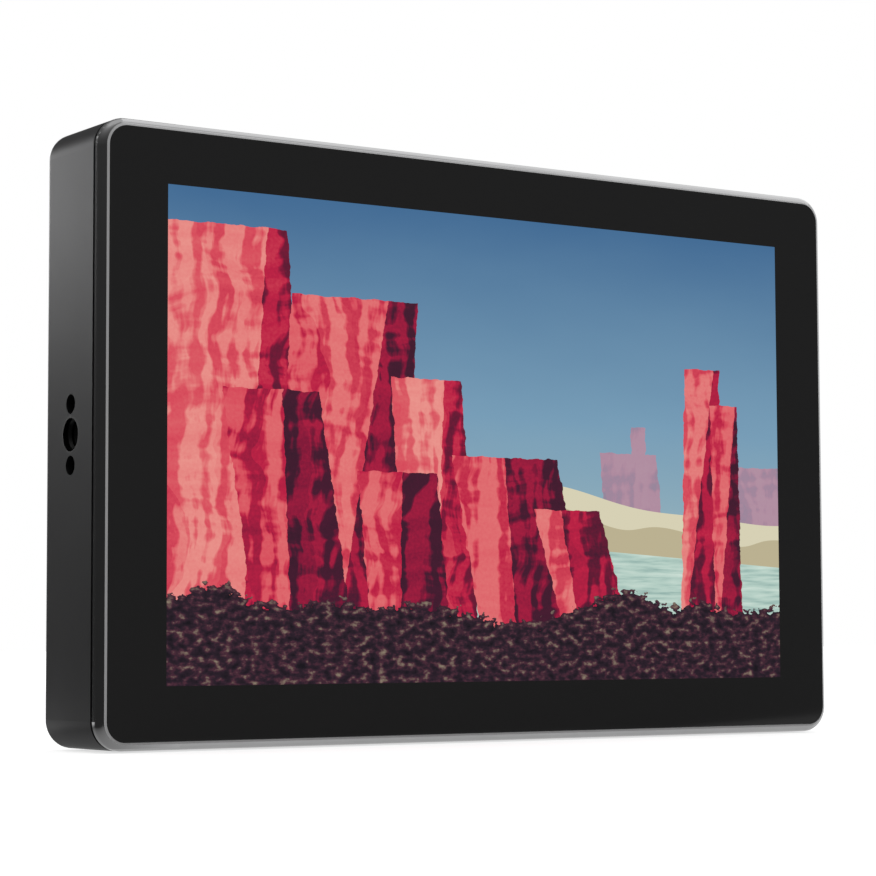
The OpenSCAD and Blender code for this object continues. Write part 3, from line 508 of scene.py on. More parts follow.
@dataclass(frozen=True)
class Picture:
    """A made-up canyon: rock towers by pale water, under a clear sky."""

    towers: tuple[Tower, ...] = (
        Tower(-0.9, -0.5, 0.43, 0.05, -0.6, 0.3, 2.0),
        Tower(-0.53, -0.22, 0.3, -0.06, -0.33, 0.2, 7.0),
        Tower(-0.26, -0.08, 0.14, 0.08, -0.14, 0.3, 11.0),
        Tower(-0.12, 0.16, -0.02, 0.2, 0.02, 0.22, 17.0),
        Tower(0.06, 0.24, -0.13, 0.3, 0.15, 0.28, 23.0),
        Tower(-0.66, -0.43, 0.1, 0.16, -0.53, 0.14, 5.0),
        Tower(-0.36, -0.16, -0.06, 0.1, -0.24, 0.16, 13.0),
        Tower(0.52, 0.62, 0.2, -0.03, 0.58, 0.28, 41.0),
        Tower(0.6, 0.68, 0.12, 0.02, 0.66, 0.16, 43.0),
    )
    shadow: float = 0.36
    far_shapes: tuple[tuple[float, ...], ...] = ((0.28, 0.44, 0.0, 0.1), (0.37, 0.41, 0.06), (0.6, 0.9, -0.02, -0.12))
    rock: Stops = (
        (0.0, screen(34, 22, 36)),
        (0.2, screen(70, 22, 46)),
        (0.36, screen(128, 18, 54)),
        (0.5, screen(186, 28, 66)),
        (0.64, screen(214, 74, 90)),
        (0.8, screen(224, 112, 114)),
        (1.0, screen(236, 156, 146)),
    )
    sky: Stops = ((0.0, screen(152, 180, 188)), (0.4, screen(118, 156, 182)), (1.0, screen(62, 104, 146)))
    water: Stops = ((0.3, screen(140, 172, 166)), (0.5, screen(178, 204, 194)), (0.75, screen(206, 224, 214)))
    scrub: Stops = (
        (0.3, screen(20, 16, 24)),
        (0.48, screen(42, 28, 40)),
        (0.58, screen(74, 40, 54)),
        (0.72, screen(134, 120, 104)),
    )
    distance: Colour = screen(150, 158, 180)
    sand: tuple[Colour, Colour] = (screen(186, 176, 144), screen(214, 208, 180))

    def rock_face(self, graph: Graph, u: Field, v: Field, light: Field | float, seed: float) -> bpy.types.NodeSocket:
        """Colours one wall of layered rock, lit from the upper left.

        Args:
            graph: The material's graph.
            u: Place across, in picture heights.
            v: Place up.
            light: Adds to how brightly the wall is lit.
            seed: Varies the pattern.

        Returns:
            The colour.
        """

        def height(across: float, up: float) -> Field:
            """How far the rock stands out.

            Args:
                across: How far to the right it is read.
                up: How far up it is read.

            Returns:
                The height as a field.
            """
            bend = drift * 0.12
            flutes = graph.noise(1, 4, graph.join((u + across + bend) * 11, (v + up) * 2.6, seed))
            ledges = graph.noise(1, 3, graph.join((u + across) * 3, (v + up + bend) * 17, seed + 9))
            return flutes + ledges * 0.3

        drift = graph.noise(3, 3, graph.join(u + seed, v * 1.5))
        column = (u * 9 + drift * 2.4 + v * 0.8 + seed).floor()
        sunlit = (height(0.0, 0.0) - height(-0.014, 0.012)).between(-0.035, 0.02)
        strata = graph.noise(1, 3, graph.join(u * 1.3, v * 26 + drift * 5, seed + 3))
        grain = graph.noise(140, 3, graph.join(u, v, seed))
        shade = column.chance(seed + 1) * 0.12 + strata * 0.18 + sunlit * 0.24 + grain * 0.12 + light + 0.14
        return graph.ramp(shade, self.rock)

    def paint(self, graph: Graph, u: Field, v: Field) -> bpy.types.NodeSocket:
        """Paints the picture.

        Args:
            graph: The material's graph.
            u: Place across, in picture heights from the middle.
            v: Place up.

        Returns:
            The colour.
        """
        rough = (graph.noise(34, 4, graph.join(u, v)) - 0.5) * 0.018
        side, up = u + rough, v + rough * 0.7
        haze = graph.noise(2.2, 3, graph.join(u, v * 2.5))
        picture = graph.ramp(v.between(-0.25, 0.52) + (haze - 0.5) * 0.12, self.sky)

        def block(left: float, right: float, top: float, lean: float = 0.0) -> Field:
            """1 inside an upright block with slanted sides."""
            across = side + up * lean
            return (across > left) * (across < right) * (up < top)

        far = sum(block(*shape) for shape in self.far_shapes)
        far_rock = graph.mix(0.68, self.rock_face(graph, u, v, 0.1, 31.0), self.distance)
        picture = graph.mix(far.between(0, 1), picture, far_rock)
        crest = (u * 5.2 + 1.1).sine() * 0.035 + (u * 13).sine() * 0.008 - 0.115
        dune = (v < crest) * (u > 0.02)
        slope = (v - crest + (u * 21 + v * 30).sine() * 0.012) > -0.045
        picture = graph.mix(dune, picture, graph.mix(slope, *self.sand))
        ripple = graph.noise(9, 4, graph.join(u, v * 11))
        picture = graph.mix(v < -0.2 - u * 0.06, picture, graph.ramp(ripple, self.water))
        for tower in self.towers:
            mask = block(tower.left, tower.right, tower.top, tower.lean)
            shaded = (side + up * (tower.lean - 0.12)) > tower.corner
            light = tower.light - shaded * self.shadow
            picture = graph.mix(mask, picture, self.rock_face(graph, u, v, light, tower.seed))
        shore = graph.noise(2.6, 3, graph.join(u + 4, 0.0)) * 0.26 - 0.47
        scrub = graph.noise(1, 7, graph.join(u * 46, v * 70))
        return graph.mix(v < shore + (scrub - 0.5) * 0.09, picture, graph.ramp(scrub, self.scrub))


@dataclass(frozen=True)
class GlassFinish:
    """Coated black glass, with the picture of the lit display behind it."""

    width: float = 150.77
    height: float = 94.23
    middle: float = 59.015
    front: float = -12.3
    black: Colour = (0.0232, 0.0232, 0.0234)
    dimmed: Colour = (0.003, 0.003, 0.003)
    specular: float = 0.12
    picture: Picture = field(default_factory=Picture)

    def make(self, name: str) -> bpy.types.Material:
        """Builds the material under that name."""
        graph = Graph(name)
        x, y, z = graph.axes()
        u, v = x / self.height, (z - self.middle) / self.height
        lit = (abs(u) < self.width / self.height / 2) * (abs(v) < 0.5) * (y < self.front)
        wiped = graph.noise(1, 4, graph.stretched((14, 14, 40)))
        graph.set(
            Base_Color=graph.mix(lit * 0.7 + wiped * 0.1, self.black, self.dimmed),
            Roughness=wiped * 0.05 + 0.05,
            Specular_IOR_Level=self.specular,
            Emission_Color=graph.mix(lit, (0.0, 0.0, 0.0), self.picture.paint(graph, u, v)),
            Emission_Strength=1.0,
        )
        return graph.material


FINISHES = {
    "cover_glass": GlassFinish(),
    "border_print": Finish(grey(18), 0.5, Surface.MOULDED),
    "display_film": Finish(grey(150), 0.3, Surface.PLATED),
    "white_film": Finish(grey(235), 0.5, Surface.MOULDED),
    "lcd_panel": Finish(grey(120), 0.2, Surface.PLATED),
    "adhesive": Finish(grey(25), 0.85, Surface.FOAM),
    # Near-black foam; in the seam between frame and housing it also stands in for the shade of the groove.
    "gasket": Finish(grey(16), 0.85, Surface.FOAM, 0.0, 0.2),
    "frame": EdgeFinish(),
    "housing": HousingFinish(),
    "carrier": Finish(grey(175), 0.35, Surface.BRUSHED, 1.0),
    "tray": Finish(grey(185), 0.4, Surface.BRUSHED, 1.0),
    # Darker than plain steel: dark sleeve metal that also paints the shade inside the tripod holes.
    "insert": Finish(grey(62), 0.42, Surface.PLATED, 1.0),
    "black_screw": Finish(grey(70), 0.35, Surface.PLATED, 1.0),
    "plain_screw": Finish(grey(185), 0.3, Surface.PLATED, 1.0),
    "circuit_board": BoardFinish(),
    "chip": Finish(grey(30), 0.55, Surface.MOULDED),
    "socket_plastic": Finish(screen(214, 206, 184), 0.5, Surface.MOULDED),
    "ribbon": RibbonFinish(),
    "led_strip": LedFinish(),
    "thermal_pad": Finish(screen(120, 140, 165), 0.85, Surface.FOAM),
    "fan_plastic": Finish(grey(26), 0.4, Surface.MOULDED),
    "connector_metal": Finish(grey(200), 0.28, Surface.PLATED, 1.0),
    "connector_plastic": Finish(grey(24), 0.5, Surface.MOULDED),
    "button": Finish(grey(48), 0.42, Surface.CAST),
    "plunger": Finish(grey(150), 0.5, Surface.MOULDED),
    "light_pipe": Finish(grey(225), 0.2, Surface.PLATED),
    "battery_plate": Finish(grey(32), 0.55, Surface.MOULDED),
    "latch": Finish(grey(66), 0.5, Surface.MOULDED),
    "contact": Finish(screen(232, 190, 96), 0.25, Surface.PLATED, 1.0),
    "lead": Finish(screen(160, 30, 28), 0.45, Surface.MOULDED),
}


class Workshop:
    """Makes each material once, dresses the CAD nodes and hands in the finished pieces."""

    def __init__(self, nodes: Nodes) -> None:
        """Keeps the CAD nodes by name."""
        self.nodes = nodes
        self.made: dict[str, bpy.types.Material] = {}

    def material(self, slot: str) -> bpy.types.Material:
        """The material of one slot of the record."""
        if slot not in self.made:
            self.made[slot] = FINISHES[slot].make(slot + "_finish")
        return self.made[slot]

    def dress_nodes(self) -> None:
        """Gives each CAD node the finish of its slot."""
        for name, node in self.nodes.items():
            slot = node.data.materials[0].name.split(".")[0]
            node.material_slots[0].material = self.material(slot)
            LOG.info("%s is finished as %s", name, slot)

    def hand_in(self, piece: bpy.types.Object, body: str = ROOT, instead: tuple[str, ...] = ()) -> None:
        """Sets a new piece on its body.

        Args:
            piece: The piece, with its place in its mesh.
            body: The CAD body it moves with.
            instead: The CAD nodes it stands for.
        """
        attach(piece, body)
        if instead:
            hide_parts(*instead)
        LOG.info("%s has %d faces and rides on %s", piece.name, len(piece.data.polygons), body)


# Geometry nodes


SOCKETS = {float: "NodeSocketFloat", int: "NodeSocketInt", tuple: "NodeSocketVector"}


class Recipe(Tree):
    """A geometry node tree with named inputs that ends in Realize Instances and Set Material."""

    def __init__(self, name: str, **inputs: object) -> None:
        """Starts the tree.

        Args:
            name: Name of the tree.
            inputs: Its inputs with their values; an object stands for an object input.
        """
        super().__init__(bpy.data.node_groups.new(name, "GeometryNodeTree"))
        self.values = inputs
        face = self.tree.interface
        for way in ("INPUT", "OUTPUT"):
            face.new_socket("Geometry", in_out=way, socket_type="NodeSocketGeometry")
        kinds = {title: SOCKETS.get(type(value), "NodeSocketObject") for title, value in inputs.items()}
        self.ids = {
            title: face.new_socket(title, in_out="INPUT", socket_type=kind).identifier
            for title, kind in {**kinds, "finish": "NodeSocketMaterial"}.items()
        }
        self.start = self.add("NodeGroupInput")
        self.end = self.add("NodeGroupOutput")

    def __getitem__(self, title: str) -> bpy.types.NodeSocket:
        """The tree's input of that name."""
        return self.start.outputs[title]

    def move(self, form: bpy.types.Node, place: object = ORIGIN, turn: object = ORIGIN) -> bpy.types.Node:
        """Turns a shape about the origin and then moves it, by values or sockets."""
        return self.add("GeometryNodeTransform", {"Geometry": form, "Translation": place, "Rotation": turn})

    def wind(self, steps: int, section: bpy.types.Node, upright: bool = False) -> bpy.types.Node:
        """Sweeps a section along a coil about Z, by the tree's inputs turns, radius and height.

        Args:
            steps: Points to one turn.
            section: The curve to sweep.
            upright: Whether the section stays upright on its way.

        Returns:
            The node that gives the shape.
        """
        coil = {"Resolution": steps, "Rotations": self["turns"], "Height": self["height"]}
        coil |= {f"{end} Radius": self["radius"] for end in ("Start", "End")}
        path = self.add("GeometryNodeCurveSpiral", coil)
        if upright:
            path = self.add("GeometryNodeSetCurveNormal", {"Curve": path}, mode="Z_UP")
        return self.add("GeometryNodeCurveToMesh", {"Curve": path, "Profile Curve": section, "Fill Caps": True})

    def close(self, geometry: bpy.types.Node, smooth: bool = True) -> None:
        """Ends the tree.

        Args:
            geometry: The node that gives the shape.
            smooth: Whether its faces are shaded smooth.
        """
        real = self.add("GeometryNodeRealizeInstances", {"Geometry": geometry})
        soft = self.add("GeometryNodeSetShadeSmooth", {"Geometry": real, "Shade Smooth": smooth})
        done = self.add("GeometryNodeSetMaterial", {"Geometry": soft, "Material": self["finish"]})
        self.feed(self.end.inputs["Geometry"], done)

    def bake(
        self,
        name: str,
        finish: bpy.types.Material,
        points: list[Vector] | None = None,
        sharp: float | None = None,
        **changes: object,
    ) -> bpy.types.Object:
        """Runs the tree and keeps the result as a plain mesh.

        Args:
            name: Name of the piece.
            finish: Its material.
            points: Points that the tree starts from, in metres.
            sharp: Angle in degrees above which edges stay sharp.
            changes: Inputs that differ from the tree's own values.

        Returns:
            The piece.
        """
        seed = bpy.data.meshes.new(name + "_points")
        seed.from_pydata(points or [Vector()], [], [])
        piece = into_scene(name, seed)
        modifier = piece.modifiers.new("form", "NODES")
        modifier.node_group = self.tree
        for title, value in {**self.values, **changes, "finish": finish}.items():
            modifier[self.ids[title]] = value
        now = bpy.context.evaluated_depsgraph_get()
        mesh = bpy.data.meshes.new_from_object(piece.evaluated_get(now), depsgraph=now)
        piece.modifiers.remove(modifier)
        piece.data = mesh
        mesh.name = name
        if sharp is not None:
            mesh.set_sharp_from_angle(angle=math.radians(sharp))
        return piece


def rings(name: str, sections: list[list[Vector]]) -> bpy.types.Object:
    """Skins a row of closed rings of equal count, and closes both ends.

    Args:
        name: Name of the object.
        sections: Points of each ring, in order.

    Returns:
        An object that isn't in the scene, for a tree to copy.
    """
    count = len(sections[0])
    points = [point for ring in sections for point in ring]
    faces = [
        (row * count + i, row * count + (i + 1) % count, (row + 1) * count + (i + 1) % count, (row + 1) * count + i)
        for row in range(len(sections) - 1)
        for i in range(count)
    ]
    faces.append(tuple(reversed(range(count))))
    faces.append(tuple((len(sections) - 1) * count + i for i in range(count)))
    mesh = bpy.data.meshes.new(name)
    mesh.from_pydata(points, [], faces)
    return bpy.data.objects.new(name, mesh)


def round_ring(radius: float, depth: float, six: bool = False) -> list[Vector]:
    """One ring about the Y axis at a depth below the origin, in millimetres.

    Args:
        radius: Radius to its corners.
        depth: How far along -Y it lies.
        six: Whether it is six-sided.

    Returns:
        Its points in metres.
    """
    points = []
    for i in range(RING_POINTS):
        angle = math.tau * i / RING_POINTS
        flat = math.cos(math.pi / 6) / math.cos(angle % (math.pi / 3) - math.pi / 6) if six else 1.0
        points.append(metres((radius * flat * math.cos(angle), -depth, radius * flat * math.sin(angle))))
    return points


def turned(name: str, profile: Profile) -> bpy.types.Object:
    """A form of rings about the Y axis, from what round_ring takes for each of them."""
    return rings(name, [round_ring(*ring) for ring in profile])


def square_ring(width: float, height: float, depth: float, cut: float) -> list[Vector]:
    """One oblong ring about the Y axis with cut corners, in millimetres.

    Args:
        width: Size along X.
        height: Size along Z.
        depth: How far along -Y it lies.
        cut: How much each corner loses.

    Returns:
        Its points in metres.
    """
    x, z = width / 2, height / 2
    upper = ((x, z - cut), (x - cut, z), (cut - x, z), (-x, z - cut))
    corners = (*upper, *((across, -up) for across, up in reversed(upper)))
    return [metres((across, -depth, up)) for across, up in corners]


def set_out(
    name: str,
    form: bpy.types.Object,
    finish: bpy.types.Material,
    points: list[Vector],
    turn: Point = ORIGIN,
    twist: Point = ORIGIN,
) -> bpy.types.Object:
    """Sets copies of a form on points.

    Args:
        name: Name of the piece.
        form: The shape to copy.
        finish: Its material.
        points: Where the copies stand, in metres.
        turn: Angles that every copy is turned by.
        twist: Most that a copy is turned further, by chance.

    Returns:
        The copies as one mesh.
    """
    tree = Recipe(name, form=form, seed=11, turn=turn, most=tuple(a + b for a, b in zip(turn, twist)))
    model = tree.add("GeometryNodeObjectInfo", {"Object": tree["form"]}, transform_space="ORIGINAL")
    angles = tree.add(
        "FunctionNodeRandomValue", {0: tree["turn"], 1: tree["most"], "Seed": tree["seed"]}, data_type="FLOAT_VECTOR"
    )
    copies = tree.add(
        "GeometryNodeInstanceOnPoints",
        {"Points": tree["Geometry"], "Instance": model.outputs["Geometry"], "Rotation": angles.outputs[0]},
    )
    tree.close(copies)
    return tree.bake(name, finish, points, sharp=30)


# Parts of the monitor


@dataclass
class TripodThreads:
    """The turns of thread in the three sleeves of the tripod mounts, in millimetres."""

    bore: float = 3.175
    crest: float = 2.62
    bite: float = 0.04
    section: float = 0.667
    pitch: float = 1.27
    depth: float = 7.0
    runout: float = 0.9
    lift: float = 0.45
    half_width: float = 89.285
    middle: float = 59.015

    def recipe(self) -> Recipe:
        """A ridge that winds inside a sleeve, along Z from the origin."""
        rise = self.bore - self.crest + self.bite
        turns = (self.depth - self.runout) / self.pitch
        tree = Recipe(
            "thread_turns",
            turns=turns,
            radius=(self.bore + self.bite - rise / 3) * MM,
            height=turns * self.pitch * MM,
            ridge=rise * self.section * MM,
            lift=self.lift * MM,
            place=ORIGIN,
            turn=ORIGIN,
        )
        section = tree.add("GeometryNodeCurvePrimitiveCircle", {"Resolution": 3, "Radius": tree["ridge"]})
        ridge = tree.wind(40, tree.move(section, turn=(0.0, 0.0, QUARTER)), upright=True)
        raised = tree.move(ridge, tree.add("ShaderNodeCombineXYZ", {2: tree["lift"]}))
        tree.close(tree.move(raised, tree["place"], tree["turn"]), smooth=False)
        return tree

    def build(self, shop: Workshop) -> None:
        """Winds the three threads."""
        tree = self.recipe()
        mounts = {
            "left_thread_turns": ((-self.half_width, 0.0, self.middle), (0.0, QUARTER, 0.0)),
            "right_thread_turns": ((self.half_width, 0.0, self.middle), (0.0, -QUARTER, 0.0)),
            "bottom_thread_turns": (ORIGIN, ORIGIN),
        }
        for name, (place, turn) in mounts.items():
            piece = tree.bake(name, shop.material("insert"), place=tuple(metres(place)), turn=turn)
            shop.hand_in(piece)


@dataclass
class SocketScrews:
    """Socket-head screws of the case and the battery plates, in millimetres."""

    head_radius: float = 1.9
    head_height: float = 1.2
    shank_radius: float = 1.0
    key_radius: float = 0.95
    key_depth: float = 0.75
    chamfer: float = 0.16
    case_points: tuple[tuple[float, float], ...] = (
        *((x, z) for z in (5.0, 113.03) for x in (-82.985, 82.985)),
        *((x, 113.03) for x in (-27.985, 27.985)),
    )
    plate_middles: tuple[float, float] = (-23.0, 23.0)
    plate_half: float = 13.0
    plate_rows: tuple[float, float] = (44.05, 102.05)

    def screw(self, length: float) -> bpy.types.Object:
        """Models one screw along the Y axis, with the top of its head at the origin and its tip towards -Y.

        Args:
            length: From the top of the head to the tip.

        Returns:
            The screw, for a tree to copy.
        """
        key, head, shank, cut = self.key_radius, self.head_radius, self.shank_radius, self.chamfer
        socket = ((key * 0.5, self.key_depth + 0.2, True), (key, self.key_depth, True), (key, 0.1, True))
        top = ((key + 0.1, 0.0), (head - cut, 0.0), (head - cut * 0.3, cut * 0.35), (head, cut))
        body = ((head, self.head_height), (shank, self.head_height), (shank, length - 0.3), (shank * 0.7, length))
        return turned("screw_form", (*socket, *top, *body))

    def build(self, shop: Workshop) -> None:
        """Sets the screws of the case and of the plates."""
        plates = [
            (middle + side * self.plate_half, row)
            for middle in self.plate_middles
            for side in (-1, 1)
            for row in self.plate_rows
        ]
        for node, places, name in (
            ("case_screws", self.case_points, "case_socket_screws"),
            ("plate_screws", plates, "plate_socket_screws"),
        ):
            low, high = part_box(node)
            form = self.screw((high.y - low.y) / MM)
            slot = shop.nodes[node].material_slots[0].material.name.removesuffix("_finish")
            points = [Vector((x * MM, high.y, z * MM)) for x, z in places]
            piece = set_out(name, form, shop.material(slot), points, twist=(0.0, math.tau, 0.0))
            shop.hand_in(piece, instead=(node,))


@dataclass
class LatchSprings:
    """Coil springs under the two battery latches, in millimetres."""

    radius: float = 1.9
    wire: float = 0.26
    turns: float = 4.5
    low: float = 11.0
    high: float = 15.3
    middle: float = 92.05
    travel: float = 1.7
    sides: dict[str, float] = field(default_factory=lambda: {"left": -23.0, "right": 23.0})

    def build(self, shop: Workshop) -> None:
        """Winds a spring on each side."""
        length = self.high - self.low - 2 * self.wire
        sizes = {"radius": self.radius * MM, "height": length * MM, "wire": self.wire * MM}
        tree = Recipe("coil", turns=self.turns, **sizes, place=ORIGIN)
        section = tree.add("GeometryNodeCurvePrimitiveCircle", {"Resolution": 8, "Radius": tree["wire"]})
        tree.close(tree.move(tree.wind(28, section), tree["place"], (-QUARTER, 0.0, 0.0)))
        for side, x in self.sides.items():
            place = tuple(metres((x, self.low + self.wire, self.middle)))
            piece = tree.bake(f"latch_coil_{side}", shop.material("plain_screw"), place=place)
            shop.hand_in(piece, instead=(f"latch_spring_{side}",))
            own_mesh(piece)


@dataclass
class PortContacts:
    """Insulators, tongues and gold contacts inside the connectors, in millimetres."""

    jacks: tuple[float, float] = (-21.7, -40.732)
    jack_line: float = 3.7
    jack_mouth: float = 19.8
    pin_drop: float = 0.3
    core: Profile = ((0.66, 7.3), (0.66, 0.15), (0.8, 0), (2.3, 0), (2.44, 0.15), (2.44, 7.5))
    pin: Profile = ((0.3, 5), (0.3, 0.1), (0.36, 0), (0.5, 0), (0.56, 0.1), (0.56, 7))
    power: float = 55.4
    power_mouth: float = 24.9
    prong_half: float = 1.5
    prong: Profile = ((0.3, 0), (0.55, 0.12), (0.64, 0.35), (0.64, 6))
    video: tuple[float, float] = (20.9, 39.3)
    video_line: float = 2.35
    video_mouth: float = 29.95
    video_tongue: tuple[float, ...] = (12.1, 1.7, 9.0, 0.15)
    video_contact: tuple[float, ...] = (0.45, 0.14, 7.5)
    video_pitch: float = 1.0
    video_offset: tuple[float, float] = (0.87, 0.6)
    data_mouth: float = 87.93
    data_line: float = 1.05
    data_middle: float = 42.08
    data_tongue: tuple[float, ...] = (0.78, 6.7, 7.5, 0.08)
    data_contact: tuple[float, ...] = (0.1, 0.28, 5.0)
    data_pitch: float = 0.5
    data_offset: tuple[float, float] = (0.4, 0.4)
    data_count: int = 12

    def strip(self, width: float, height: float, length: float, cut: float = 0.02) -> bpy.types.Object:
        """Models a bar along -Y with a softened end.

        Args:
            width: Size along X.
            height: Size along Z.
            length: Size along Y.
            cut: How much its corners lose.

        Returns:
            The bar, for a tree to copy.
        """
        end = square_ring(width - 2 * cut, height - 2 * cut, 0.0, cut)
        return rings("bar_form", [end, *(square_ring(width, height, depth, cut) for depth in (2 * cut, length))])

    def build(self, shop: Workshop) -> None:
        """Fits out the connectors."""
        down, right = (-QUARTER, 0.0, 0.0), (0.0, 0.0, -QUARTER)
        jacks = [metres((x, self.jack_line, self.jack_mouth)) for x in self.jacks]
        pins = [point - metres((0, 0, self.pin_drop)) for point in jacks]
        prongs = [metres((self.power + s * self.prong_half, self.jack_line, self.power_mouth)) for s in (-1, 1)]
        video = [metres((x, self.video_line, self.video_mouth)) for x in self.video]
        data = [metres((self.data_mouth, self.data_line, self.data_middle))]
        out, deep = self.video_offset
        line, mouth = self.video_line, self.video_mouth + deep
        video_contacts = [
            metres((x + (i - (count - 1) / 2) * self.video_pitch, line + side * out, mouth))
            for x in self.video
            for side, count in ((-1, 10), (1, 9))
            for i in range(count)
        ]
        out, deep = self.data_offset
        line, mouth, middle = self.data_line, self.data_mouth - deep, (self.data_count - 1) / 2
        data_contacts = [
            metres((mouth, line + side * out, self.data_middle + (i - middle) * self.data_pitch))
            for side in (-1, 1)
            for i in range(self.data_count)
        ]
        for name, slot, form, points, turn in (
            ("video_jack_insulators", "white_film", turned("core_form", self.core), jacks, down),
            ("video_jack_pins", "contact", turned("pin_form", self.pin), pins, down),
            ("power_prongs", "contact", turned("prong_form", self.prong), prongs, down),
            ("video_tongues", "connector_plastic", self.strip(*self.video_tongue), video, down),
            ("video_contacts", "contact", self.strip(*self.video_contact), video_contacts, down),
            ("data_tongue", "connector_plastic", self.strip(*self.data_tongue), data, right),
            ("data_contacts", "contact", self.strip(*self.data_contact), data_contacts, right),
        ):
            shop.hand_in(set_out(name, form, shop.material(slot), points, turn))


@dataclass
class DustMesh:
    """Woven screen inside the exhaust slots, in millimetres."""

    middle: tuple[float, float] = (64.0, 86.0)
    width: float = 27.0
    height: float = 29.0
    depth: float = 8.9
    pitch: float = 1.5
    wire: float = 0.16
    weave: float = 0.9

    def build(self, shop: Workshop) -> None:
        """Lays the two rows of wires."""
        tree = Recipe("woven_screen", wire=self.wire * MM, across=self.width * MM, upright=self.height * MM)
        both = tree.add("GeometryNodeJoinGeometry")
        for span, length, turn, side in (
            (self.width, "upright", 0.0, -1),
            (self.height, "across", QUARTER, 1),
        ):
            count = int(span / self.pitch)
            wire = tree.add("GeometryNodeMeshCylinder", {"Vertices": 6, "Radius": tree["wire"], "Depth": tree[length]})
            start, offset = (-span / 2 * MM, 0.0, 0.0), (span / count * MM, 0.0, 0.0)
            step = tree.add("GeometryNodeMeshLine", {"Count": count + 1, "Start Location": start, "Offset": offset})
            row = tree.add("GeometryNodeInstanceOnPoints", {"Points": step, "Instance": wire})
            tree.feed(both.inputs[0], tree.move(row, (0.0, side * self.wire * self.weave * MM, 0.0), (0.0, turn, 0.0)))
        tree.close(tree.move(both, tuple(metres((self.middle[0], self.depth, self.middle[1])))))
        piece = tree.bake("exhaust_dust_mesh", shop.material("black_screw"), sharp=40)
        shop.hand_in(piece)


# Studio


@dataclass(frozen=True)
class Lamp:
    """A softbox: where it stands, where it points, its size and how bright its face is."""

    name: str
    place: Point
    target: Point
    width: float
    height: float
    radiance: float

    def hang(self) -> None:
        """Adds the lamp to the scene."""
        data = bpy.data.lights.new(self.name, "AREA")
        data.shape = "RECTANGLE"
        data.size = self.width
        data.size_y = self.height
        data.energy = self.radiance * math.pi * self.width * self.height
        lamp = into_scene(self.name, data)
        aim = Vector(self.target) - Vector(self.place)
        lamp.matrix_world = Matrix.Translation(self.place) @ aim.to_track_quat("-Z", "Y").to_matrix().to_4x4()


